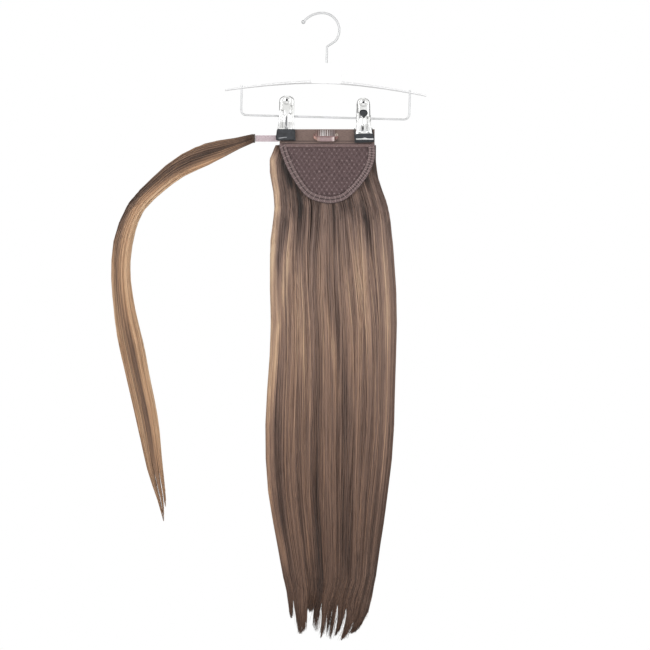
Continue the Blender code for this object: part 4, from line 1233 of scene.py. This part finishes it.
CLOSER_FROM = edge_length[-1] * 0.66      # past here the stitches lie closer together
STITCH_INSIDE, STITCH_Y = 3.7 * MM, -2.75 * MM
stitch_at = np.concatenate((
    np.arange(3.0 * MM, CLOSER_FROM, 6.4 * MM), np.arange(CLOSER_FROM, edge_length[-1] - 2 * MM, 3.1 * MM),
))
stitch_x, stitch_z, line_turn = along_edge(stitch_at, STITCH_INSIDE)
stitches = lay_copies(
    "cap_binding_stitches", make_stitch(7.2 * MM, 0.50 * MM, 1.3 * MM),
    spots_at(stitch_x, STITCH_Y, stitch_z),
    line_turn - QUARTER + chance.normal(0, 0.12, len(stitch_at)),
)
finish_piece(stitches, "cap_binding_stitches", stitch_thread, ("cap_binding",))

# %% [markdown]
# ## Dark rows along the binding
#
# Dark thread holds the tape down in the valley between its cords and along its inner edge.
# The row along its outer edge is a painted shadow: dark thread laid where the cords' edge
# casts a shadow line. Seen from afar the three rows draw thin dark lines that part the cords.

# %% Dark rows along the binding
# the first row, along the outer edge, is a painted shadow line
ROWS = ((0.0, -0.9), (3.75, -1.25), (7.6, -1.2))      # how far inside the edge, then y, in mm
row_at = np.arange(1.5 * MM, edge_length[-1] - 1.5 * MM, 2.5 * MM)
row_spots, row_turns = [], []
for inside_mm, y_mm in ROWS:
    row_x, row_z, row_turn = along_edge(row_at, inside_mm * MM)
    row_spots.append(spots_at(row_x, y_mm * MM, row_z))
    row_turns.append(row_turn)
rows_and_shadow_line = lay_copies(
    "cap_binding_rows_and_shadow_line", make_stitch(2.3 * MM, 0.75 * MM, 0.15 * MM),
    np.concatenate(row_spots), np.concatenate(row_turns),
)
finish_piece(rows_and_shadow_line, "cap_binding_rows_and_shadow_line", dark_thread)

# %% [markdown]
# ## Grosgrain band
#
# The top edge is a grosgrain ribbon: its weft lies in fine ribs along the ribbon, a little
# over a millimetre apart here. A section with those ribs is lofted from end to end. Both
# edges are a denser selvedge.

# %% Band
BAND_LEFT, BAND_RIGHT = -47.2 * MM, 57.3 * MM
BAND_TOP, BAND_BOTTOM = -126.84 * MM, -143.44 * MM
RIBS = 13
heights = np.linspace(BAND_TOP, BAND_BOTTOM, RIBS * 4 + 1)
ribbed = 0.62 + 0.16 * np.sin(np.linspace(0, 1, RIBS * 4 + 1) * RIBS * math.tau) ** 2
ribbed[:4] = ribbed[-4:] = 0.80
band_section = [(-y * MM, z) for y, z in zip(ribbed, heights)]
band_section += [(y * MM, z) for y, z in zip(ribbed[::-1], heights[::-1])]
band_x = np.linspace(BAND_LEFT, BAND_RIGHT, 60)
ripple = np.sin(band_x * 190) * 0.04 * MM
rings = [
    np.array([(x, y + lift * (y < 0), z) for y, z in band_section]) for x, lift in zip(band_x, ripple)
]
band = loft_strip("grosgrain_band", rings, band_x, [z for _, z in band_section])
ribbon = textile("brown grosgrain ribbon", "#6f5c55", "#8a756d", 0.8, 0.5, stretch=(0.25, 1, 1.6))
finish_piece(band, "grosgrain_band", ribbon, ("top_band",))

# %% [markdown]
# ## Seams under the band
#
# The cap is joined to the band by two rows of machine stitching, with a folded edge between
# them. Short stitches lie end to end along both rows.

# %% Seam stitches
SEAMS = ((-0.86, -139.9), (-1.62, -142.9))      # y and z of each row, in mm
seam_x = np.arange(BAND_LEFT + 3 * MM, BAND_RIGHT - 3 * MM, 2.5 * MM)
seam_spots = np.concatenate([spots_at(seam_x, y * MM, z * MM) for y, z in SEAMS])
seams = lay_copies(
    "band_seam_stitches", make_stitch(2.4 * MM, 0.70 * MM, 0.2 * MM), seam_spots,
    chance.normal(0, 0.05, len(seam_spots)),
)
finish_piece(seams, "band_seam_stitches", dark_thread)

# %% [markdown]
# ## Hem
#
# The cap's straight edge is folded over and sewn to the band. The fold is a narrow strip
# that lies over both. A plane is extruded to its thickness, and a Bevel modifier rounds its
# edges. The hook tape further on is made in the same way.

# %% Hem
def sewn_strip(left, right, top, bottom, back, front, cuts=0):
    """An upright strip of cloth with rounded edges. Cuts divide its face both ways."""
    strip = upright_plane((left + right) / 2, back, (top + bottom) / 2, right - left, top - bottom)
    edit_all()
    if cuts:
        bpy.ops.mesh.subdivide(number_cuts=cuts)
    extrude((0, front - back, 0))
    face_outwards()
    apply_modifier(strip, "BEVEL", width=0.3 * MM, segments=2)
    smooth_below(40)
    return strip


hem = sewn_strip(
    BAND_LEFT + 0.5 * MM, BAND_RIGHT - 1.5 * MM, -142.3 * MM, -146.4 * MM, -0.84 * MM, -1.50 * MM
)
hem_cloth = textile("folded net hem", "#6a5553", "#87706d", 0.8, 0.5, stretch=(0.3, 1, 1))
finish_piece(hem, "cap_hem", hem_cloth)

# %% [markdown]
# ## Hook and loop tape
#
# The strand's root carries a strip of lilac hook tape, which closes round the ponytail. Its
# face stands full of tiny hooks, each a bent cone, laid in rows across it.

# %% Tape
TAPE_LEFT, TAPE_RIGHT = -73.9 * MM, -47.5 * MM
TAPE_TOP, TAPE_BOTTOM = -133.4 * MM, -140.4 * MM
tape = sewn_strip(TAPE_LEFT, TAPE_RIGHT, TAPE_TOP, TAPE_BOTTOM, 0.65 * MM, -0.30 * MM, cuts=8)
tape_cloth = textile("lilac hook tape", "#c1aeb3", "#dfd0d4", 0.7, 0.5, sheen=0.4)
finish_piece(tape, "hook_tape", tape_cloth, ("wrap_tape",))

# %% Hooks on the tape
HOOK_Y, HOOK_BEND = -0.42 * MM, (0.18 * MM, -0.02 * MM, -0.12 * MM)
start_clean()
bpy.ops.mesh.primitive_cone_add(
    vertices=5, radius1=0.20 * MM, radius2=0.10 * MM, depth=0.5 * MM, rotation=(QUARTER, 0, 0)
)
hook = bpy.context.active_object
apply_place()
bpy.ops.object.mode_set(mode="EDIT")
select_faces(hook, lambda face: face.calc_center_median().y < -0.2 * MM and len(face.verts) == 5)
extrude(HOOK_BEND)
bpy.ops.object.mode_set(mode="OBJECT")
across = np.arange(TAPE_LEFT + 0.9 * MM, TAPE_RIGHT - 0.8 * MM, 0.85 * MM)
upright = np.arange(TAPE_BOTTOM + 0.9 * MM, TAPE_TOP - 0.8 * MM, 0.75 * MM)
spots = np.array([(x, HOOK_Y, z) for x in across for z in upright])
hooks = lay_copies("hook_tape_hooks", hook, spots, chance.uniform(-0.5, 0.5, len(spots)))
hook_nylon = moulded("lilac nylon hook", "#c5b4ba", "#e2d6d8", 3, 0.35, 0.5, 0.6, 0.1)
finish_piece(hooks, "hook_tape_hooks", hook_nylon, ("wrap_tape",))

# %% [markdown]
# ## Bound root
#
# Where the tape meets the hair, the strand's root is glued flat and wound with dark thread.
# A cylinder is pressed to an oval and its ends are hollowed. One ring of thread is a torus
# of the same oval, copied side by side.

# %% Cuff
CUFF_LEFT, CUFF_RIGHT, CUFF_Z = -78.4 * MM, -74.2 * MM, -136.9 * MM
WINDINGS = 6
start_clean()
bpy.ops.mesh.primitive_cylinder_add(
    vertices=28, radius=1.0, depth=CUFF_RIGHT - CUFF_LEFT,
    rotation=(0, QUARTER, 0), location=((CUFF_LEFT + CUFF_RIGHT) / 2, 0, CUFF_Z),
)
cuff = bpy.context.active_object
cuff.scale = (4.4 * MM, 1.9 * MM, 1.0)
apply_place()
bpy.ops.object.mode_set(mode="EDIT")
select_faces(cuff, lambda face: len(face.verts) > 4)
bpy.ops.mesh.inset(thickness=0.8 * MM, depth=0.0)
bpy.ops.mesh.inset(thickness=0.5 * MM, depth=-0.3 * MM)
bpy.ops.object.mode_set(mode="OBJECT")
smooth_below(40)
glue = textile("glued dark root", "#33271f", "#4d3c31", 0.6, 0.6, stretch=(0.3, 1, 1))
finish_piece(cuff, "strand_root_core", glue, ("wrap_cuff",))

# %% Thread round the root
start_clean()
bpy.ops.mesh.primitive_torus_add(
    major_segments=28, minor_segments=6, major_radius=1.0, minor_radius=0.08,
    rotation=(0, QUARTER, 0),
)
ring = bpy.context.active_object
ring.scale = (4.6 * MM, 2.0 * MM, 4.6 * MM)
rounds = np.linspace(CUFF_LEFT + 0.45 * MM, CUFF_RIGHT - 0.45 * MM, WINDINGS)
windings = lay_copies(
    "strand_root_thread", ring, spots_at(rounds, 0.0, CUFF_Z), chance.normal(0, 0.03, WINDINGS)
)
wound = textile("dark root thread", "#3a2c24", "#5a4639", 0.4, 0.4)
finish_piece(windings, "strand_root_thread", wound, ("wrap_cuff",))

# %% [markdown]
# ## The wrap strand's path
#
# The loose strand leaves the root to the left, swells, and curves down to a thin tip. The
# rows say how far out and down the path runs, and how wide and thick the strand is there.
# They are the solid's own. Between rows the values follow a smooth curve.

# %% Path of the wrap strand
STRAND_ROOT = np.array((-77.2, 0.0, -136.9)) * MM
STRAND_OUT, STRAND_DROP = 144.5 * MM, 421.0 * MM
STRAND_WIDTH, STRAND_THICKNESS = 26.0 * MM, 11.0 * MM
STRAND_ROWS = np.array((
    # out, down, width, thickness
    (0.000, 0.000, 0.34, 0.42), (0.142, 0.016, 0.50, 0.62), (0.287, 0.033, 0.80, 0.92),
    (0.432, 0.054, 0.88, 1.00), (0.578, 0.082, 0.79, 1.00), (0.724, 0.123, 0.72, 1.00),
    (0.840, 0.160, 0.68, 0.96), (0.913, 0.196, 0.68, 0.92), (0.975, 0.258, 0.76, 0.90),
    (1.000, 0.324, 0.75, 0.90), (0.994, 0.391, 0.79, 0.90), (0.958, 0.479, 0.91, 0.88),
    (0.922, 0.536, 1.00, 0.86), (0.887, 0.594, 0.95, 0.82), (0.852, 0.651, 0.91, 0.78),
    (0.815, 0.709, 0.89, 0.74), (0.785, 0.766, 0.84, 0.68), (0.760, 0.824, 0.76, 0.60),
    (0.733, 0.881, 0.66, 0.50), (0.700, 0.930, 0.48, 0.38), (0.682, 0.965, 0.30, 0.26),
    (0.674, 1.000, 0.05, 0.08),
))


def smooth_rows(rows, count):
    """The rows as count rows at equal steps along a smooth curve through them."""
    at = np.linspace(0, len(rows) - 1, count)
    i = np.minimum(at.astype(int), len(rows) - 2)
    t = (at - i)[:, None]
    a, b, c, d = (rows[np.clip(i + step, 0, len(rows) - 1)] for step in (-1, 0, 1, 2))
    return b + t / 2 * (c - a + t * (2 * a - 5 * b + 4 * c - d + t * (3 * (b - c) + d - a)))


strand_rows = smooth_rows(STRAND_ROWS, 200)
strand_line = STRAND_ROOT + np.stack((
    -strand_rows[:, 0] * STRAND_OUT, np.zeros(200), -strand_rows[:, 1] * STRAND_DROP,
), axis=1)
steps = np.linalg.norm(np.diff(strand_line, axis=0), axis=1)
strand_reach = np.concatenate(((0.0,), np.cumsum(steps)))
strand_reach /= strand_reach[-1]
strand_along = np.gradient(strand_line, axis=0)
strand_along /= np.linalg.norm(strand_along, axis=1, keepdims=True)
strand_across = np.stack((strand_along[:, 2], np.zeros(200), -strand_along[:, 0]), axis=1)
print("strand", round(float(steps.sum()) / MM), "mm long")

# %% [markdown]
# ## Strands of the wrap strand
#
# Each hair keeps its place in the strand's oval section, while the whole section twists a
# seventh of a turn on its way down, so the outer hairs cross over the inner ones. Tone is
# set by where a hair runs: dark along the outside at first, gold along the inside, and one
# dark streak down the middle of the hanging part. The end frays into three thin wisps.

# %% Wrap strand
WRAP_STRANDS, WRAP_POINTS, WRAP_THICK = 1150, 27, 0.62 * MM
TWIST_TOP, TWIST_REST = 0.6, 0.3      # radians
SORTED_AT = 0.9      # the turn at the tip, in radians, that sorts hairs into wisps
STRAND_TONES = np.array((
    # along, then the tone from the inner edge to the outer one
    (0.00, 0.20, 0.18, 0.14, 0.16, 0.20),
    (0.05, 0.36, 0.40, 0.20, 0.30, 0.30),
    (0.10, 0.76, 0.54, 0.02, 0.34, 0.44),
    (0.16, 0.86, 0.52, 0.16, 0.30, 0.44),
    (0.22, 0.88, 0.74, 0.38, 0.20, 0.34),
    (0.28, 0.88, 0.82, 0.64, 0.24, 0.12),
    (0.34, 0.86, 0.80, 0.72, 0.44, 0.20),
    (0.42, 0.92, 0.84, 0.76, 0.38, 0.78),
    (0.52, 0.92, 0.86, 0.64, 0.38, 0.82),
    (0.61, 0.92, 0.78, 0.28, 0.60, 0.76),
    (0.76, 0.90, 0.72, 0.28, 0.62, 0.72),
    (0.90, 0.80, 0.68, 0.48, 0.62, 0.66),
    (1.00, 0.66, 0.62, 0.56, 0.60, 0.64),
))
radius = np.sqrt(chance.uniform(0, 1, WRAP_STRANDS))[:, None]
angle = chance.uniform(0, math.tau, WRAP_STRANDS)[:, None]
end_u = radius * np.cos(angle + SORTED_AT)
tip_at = 1 - chance.exponential(0.055, WRAP_STRANDS).clip(0, 0.30)
tip_at -= 0.03 * (end_u[:, 0] < -0.45)
t = np.linspace(0, 1, WRAP_POINTS)[None, :] * tip_at[:, None]
twist = TWIST_TOP * smooth_step(t, 0.03, 0.20) + TWIST_REST * smooth_step(t, 0.24, 0.60)
drift = 0.06 * np.sin(math.tau * (t * chance.uniform(1, 3, WRAP_STRANDS)[:, None] + angle))
u = (radius + drift) * np.cos(angle + twist)
v = (radius + drift) * np.sin(angle + twist)
wisp = np.where(end_u < -0.45, -0.85, np.where(end_u < 0.15, -0.20, 0.42))
fork = smooth_step(t, 0.78, 1.0) * chance.uniform(0.25, 0.90, WRAP_STRANDS)[:, None]
u = u * (1 - fork) + fork * wisp
at_row = np.interp(t, strand_reach, np.arange(200))


def along_strand(values):
    return np.interp(at_row, np.arange(200), values)


half_width = along_strand(strand_rows[:, 2]) * STRAND_WIDTH / 2
half_depth = along_strand(strand_rows[:, 3]) * STRAND_THICKNESS / 2
wrap_paths = np.stack([
    along_strand(strand_line[:, c]) + along_strand(strand_across[:, c]) * u * half_width
    for c in range(3)
], axis=2)
wrap_paths[..., 1] += v * half_depth
columns = np.stack([np.interp(t, STRAND_TONES[:, 0], STRAND_TONES[:, c]) for c in range(1, 6)])
place = (u.clip(-1, 1) + 1) * 2
column = place.astype(int).clip(0, 3)
wrap_tones = (
    np.take_along_axis(columns, column[None], 0)[0] * (1 - place + column)
    + np.take_along_axis(columns, column[None] + 1, 0)[0] * (place - column)
)
wrap_tones += chance.normal(0, 0.11, WRAP_STRANDS)[:, None]
wrap_widths = strand_widths(WRAP_STRANDS, WRAP_POINTS, WRAP_THICK)
wrap = strands_object("wrap_strand_hair", wrap_paths, wrap_widths, wrap_tones)
finish_piece(wrap, "wrap_strand_hair", golden_hair, ("wrap_strand",))

# %% [markdown]
# ## Pressed faces of the clips
#
# Each clip's arm is pressed from thin sheet: domed across, with fluted grooves towards its
# foot that stiffen it. The plain arm is flat, so a pressed face lies over the one that is
# seen. A grid is cut finely enough, its points are shaped into the dome and the grooves,
# and it is given the sheet's thickness. A second function cuts holes through it.

# %% Pressed faces
ARM_PROFILE = ((0.0, 7.1), (4.8, 7.1), (14.6, 5.95), (27.8, 5.95), (37.5, 3.75), (44.0, 3.75))
SHEET, DOME_MM, DOME_POWER, ARM_LENGTH = 0.35 * MM, 1.9, 3.4, 41.5 * MM
HOLE_DROP, HOLE_RADIUS = 4.6 * MM, 1.2 * MM
SEEN = {"left": ("left_clip_front_arm", "left_clip_front_pad"),
        "right": ("right_clip_back_arm", "right_clip_back_pad")}
LEAN_OF = {"left": math.radians(1.4), "right": math.radians(-1.4)}
arm_box = {side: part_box(arm) for side, (arm, _) in SEEN.items()}
pad_y = {side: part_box(pad)[0].y for side, (_, pad) in SEEN.items()}


def leaning(side, z):
    """The middle of a leaning arm at that height."""
    low, high = arm_box[side]
    return (low.x + high.x) / 2 + math.tan(LEAN_OF[side]) * (z - high.z + ARM_LENGTH)


def pressed_face(side, length, widths, grooves):
    """widths: (down, half width). grooves: (across, half width, depth, from, to). All in mm."""
    top = arm_box[side][1].z
    start_clean()
    bpy.ops.mesh.primitive_grid_add(x_subdivisions=42, y_subdivisions=48, size=1.0)
    sheet = bpy.context.active_object
    spots = np.array([vertex.co[:] for vertex in sheet.data.vertices])
    share = np.sin(spots[:, 0] * math.pi)
    down = (0.5 - spots[:, 1]) * length
    across = share * np.interp(down, *zip(*widths))
    out = np.interp(down, *zip(*ARM_PROFILE)) + DOME_MM * (1 - np.abs(share) ** DOME_POWER)
    for at, half, depth, start, stop in grooves:
        ends = smooth_step(down, start, start + 1.5) * (1 - smooth_step(down, stop - 1.5, stop))
        out -= depth * np.exp(-(((across - at) / half) ** 2)) * ends
    from_hole = np.hypot(across, down - HOLE_DROP / MM)
    out -= 0.75 * np.exp(-(((from_hole - 3.4) / 1.1) ** 2))      # a shallow ring round the hole
    for vertex, x, y, z in zip(sheet.data.vertices, across, out, down):
        height = top - z * MM
        vertex.co = (leaning(side, height) + x * MM, -y * MM, height)
    apply_modifier(sheet, "SOLIDIFY", thickness=SHEET, offset=0.0)
    edit_all()
    face_outwards()
    return sheet


def cut_away(sheet, outlines):
    """Cuts holes of those outlines, each a list of (x, z) in metres, through the front sheet."""
    tools = []
    for outline in outlines:
        start_clean()
        bpy.ops.mesh.primitive_circle_add(vertices=len(outline), radius=1.0, fill_type="NGON")
        tool = bpy.context.active_object
        for vertex, (x, z) in zip(tool.data.vertices, outline):
            vertex.co = (x, -14 * MM, z)
        edit_all()
        extrude((0, 12 * MM, 0))
        face_outwards()
        tools.append(tool)
    for tool in tools:
        tool.select_set(True)
    bpy.ops.object.join()
    make_active(sheet)
    apply_modifier(sheet, "BOOLEAN", object=tools[-1], operation="DIFFERENCE", solver="MANIFOLD")
    bpy.data.objects.remove(tools[-1])


def round_outline(x, z, half_x, half_z):
    turns = np.linspace(0, math.tau, 20, endpoint=False)
    return [(x + half_x * math.cos(turn), z + half_z * math.sin(turn)) for turn in turns]


# %% [markdown]
# ## The two faces
#
# The left clip shows its front and the right one its back, which is narrower and has one
# more groove. The rows give each face's outline and its grooves. Then the holes are cut: a
# finger hole and a slot in both, and a window in the right one.

# %% Faces of both clips
faces = {
    "left": pressed_face(
        "left", 35.8,
        ((0, 2.6), (0.6, 4.6), (1.8, 6.5), (3.6, 7.7), (5.5, 8.05), (27, 8.05), (35.8, 9.35)),
        ((-4.9, 1.7, 1.5, 15.0, 37.0), (4.4, 1.7, 1.2, 18.5, 37.0), (5.6, 1.0, 0.8, 10.0, 20.0),
         (-2.0, 1.0, 0.8, 20.0, 37.0)),
    ),
    "right": pressed_face(
        "right", 38.4,
        ((0, 2.3), (0.6, 4.0), (1.8, 5.6), (3.6, 6.5), (5.5, 6.8), (27, 6.85), (38.4, 9.35)),
        ((-4.9, 1.6, 1.4, 15.0, 38.0), (4.4, 1.5, 1.3, 20.0, 38.0), (6.2, 0.9, 0.8, 24.0, 39.0),
         (-0.6, 1.9, 1.2, 20.5, 29.5), (-3.0, 0.8, 0.7, 20.0, 38.0)),
    ),
}

# %% Holes in the pressed faces
WINDOW = (
    (-4.2, 1.3), (-3.6, 2.9), (-2.2, 3.7), (0.0, 3.9), (2.0, 3.6), (3.5, 2.5), (4.3, 1.0), (4.0, -0.8),
    (2.4, -2.4), (1.0, -3.8), (0.2, -5.2), (-0.6, -3.9), (-2.2, -2.6), (-3.9, -1.2),
)
WINDOW_SIZE, SLOT_HALF = 1.08, 0.85 * MM
SLOTS = {"left": (116.2, 128.6, 0.0), "right": (126.4, 131.7, -1.1 * MM)}      # pixels, then aside
window_z = at_pixel(0, 114.3).z
window_x = leaning("right", window_z)
slots = {}
for side, face in faces.items():
    slot_top, slot_foot, aside = SLOTS[side]
    z = at_pixel(0, (slot_top + slot_foot) / 2).z
    slots[side] = (leaning(side, z) + aside, z, SLOT_HALF, (slot_foot - slot_top) / 2 * PIXEL)
    hole_z = arm_box[side][1].z - HOLE_DROP
    holes = [round_outline(leaning(side, hole_z), hole_z, HOLE_RADIUS, HOLE_RADIUS)]
    holes.append(round_outline(*slots[side]))
    if side == "right":
        grown = WINDOW_SIZE * MM
        holes.append([(window_x + x * grown, window_z + z * grown) for x, z in reversed(WINDOW)])
    cut_away(face, holes)
    make_active(face)
    smooth_below(40)
    finish_piece(face, side + "_clip_face", nickel)

# %% [markdown]
# ## Details of the shoes
#
# A moulded bead runs round the face of each shoe and stands up in a horn at its two top
# corners. The steel arm's foot shows through it as a bright wavy lip. A plane is cut into
# short lengths, its points are lifted in a wave, and it is given a thickness. Inside each
# clip a black liner stands for the shade there: its black is painted shade, and it is what
# makes the window, the slots and the finger hole look dark.

# %% Lips on the shoes
def add_lip(side, from_px, to_px, down_px, tall, bump, bow, finish):
    """A wavy strip in front of that shoe. bump lifts its middle, and bow its two ends, in mm."""
    start, stop = at_pixel(from_px, down_px), at_pixel(to_px, down_px)
    middle_x, half = (start.x + stop.x) / 2, (stop.x - start.x) / 2
    lip = upright_plane(middle_x, pad_y[side] - 0.45 * MM, start.z, 2 * half, tall * MM)
    edit_all()
    bpy.ops.mesh.subdivide(number_cuts=24)
    bpy.ops.object.mode_set(mode="OBJECT")
    for vertex in lip.data.vertices:
        share = (vertex.co.x - middle_x) / half
        swell = math.exp(-((share / 0.26) ** 2))
        vertex.co.z += bump * MM * swell * (vertex.co.z > start.z) + bow * MM * share
        vertex.co.y += 0.12 * MM * math.cos(share * 9) - 0.15 * MM * swell
    apply_modifier(lip, "SOLIDIFY", thickness=SHEET)
    smooth_below(50)
    finish_piece(lip, side + "_clip_lip", finish)


add_lip("right", 356.0, 373.2, 139.5, 1.1, 0.9, 0.0, nickel)
# the left lip is in the darker copy of the nickel, painted shade
add_lip("left", 278.6, 286.8, 138.2, 0.9, 0.2, 0.5, shaded_nickel)

# %% Beads round the shoes
BEAD = 0.9 * MM
bead_rubber = moulded("shiny black rubber bead", "#191a1c", "#2b2c2f", 5, 0.25, 0.42, 0.5, 0.15)


def add_bead(side, corners):
    """A round bead along those pixels of the photograph, on the face of that shoe."""
    start_clean()
    bpy.ops.curve.primitive_nurbs_path_add()
    bead = bpy.context.active_object
    bead.data.splines.clear()
    line = bead.data.splines.new("POLY")
    line.points.add(len(corners) - 1)
    for point, (across, down) in zip(line.points, corners):
        spot = at_pixel(across, down)
        point.co = (spot.x, pad_y[side] - 0.1 * MM, spot.z, 1.0)
    bead.data.dimensions = "3D"
    bead.data.bevel_depth, bead.data.bevel_resolution = BEAD / 2, 3
    bead.data.use_fill_caps = True
    bpy.ops.object.convert(target="MESH")
    edit_all()
    bpy.ops.mesh.remove_doubles(threshold=1e-5)
    face_outwards()
    smooth_below(50)
    finish_piece(bead, side + "_shoe_bead", bead_rubber)


add_bead("left", (
    (278.0, 129.6), (277.2, 131.0), (276.9, 134.0), (276.3, 137.5), (276.5, 139.8), (277.4, 140.6),
    (285.0, 140.6), (293.0, 140.2), (294.3, 139.2), (294.9, 136.0), (295.1, 132.5), (294.4, 130.2),
))
add_bead("right", (
    (354.6, 128.8), (354.2, 131.0), (354.5, 135.0), (354.9, 139.5), (355.6, 141.4), (357.0, 141.9),
    (364.0, 141.7), (372.0, 141.9), (373.6, 141.4), (373.9, 139.5), (373.0, 134.5), (372.4, 131.0),
    (371.7, 128.4),
))

# %% Shade liners in the clips
def add_shade_liner(name, middle, size, finish=rubber):
    start_clean()
    bpy.ops.mesh.primitive_cube_add(size=1.0, location=middle)
    liner = bpy.context.active_object
    liner.scale = size
    apply_place()
    edit_all()
    bpy.ops.mesh.bevel(offset=min(size) * 0.3, segments=2, affect="EDGES")
    bpy.ops.object.mode_set(mode="OBJECT")
    smooth_below(40)
    finish_piece(liner, name, finish)


# painted shade behind the slots: black rubber on the right, the darker copy of the nickel on the left
SLOT_SHADE_LINERS = {"left": (-6.3 * MM, shaded_nickel), "right": (-5.15 * MM, rubber)}
for side in ("left", "right"):
    low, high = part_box(side + "_clip_spring")
    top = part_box(side + "_clip_front_arm")[1].z - 1.8 * MM
    foot = high.z - 4.5 * MM
    middle = ((low.x + high.x) / 2, 4.6 * MM, (top + foot) / 2)
    add_shade_liner(side + "_clip_shade_liner", middle, (9.6 * MM, 0.7 * MM, top - foot))
for side, (y, finish) in SLOT_SHADE_LINERS.items():
    x, z, half_x, half_z = slots[side]
    add_shade_liner(side + "_slot_shade_liner", (x, y, z), (4 * half_x, 0.3 * MM, 2 * half_z + 1.5 * MM), finish)
add_shade_liner(
    "right_window_shade_liner", (window_x + 0.1 * MM, -6.40 * MM, window_z - 0.5 * MM),
    (9.4 * MM, 0.28 * MM, 10.2 * MM),
)

# %% [markdown]
# ## Size
#
# The dressed model must not outgrow the measured one, so both boxes are printed.

# %% Finish
visual_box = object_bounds()
for name, box in (("cad", cad_box), ("visual", visual_box)):
    print(name, [[round(v / MM, 1) for v in corner] for corner in box])
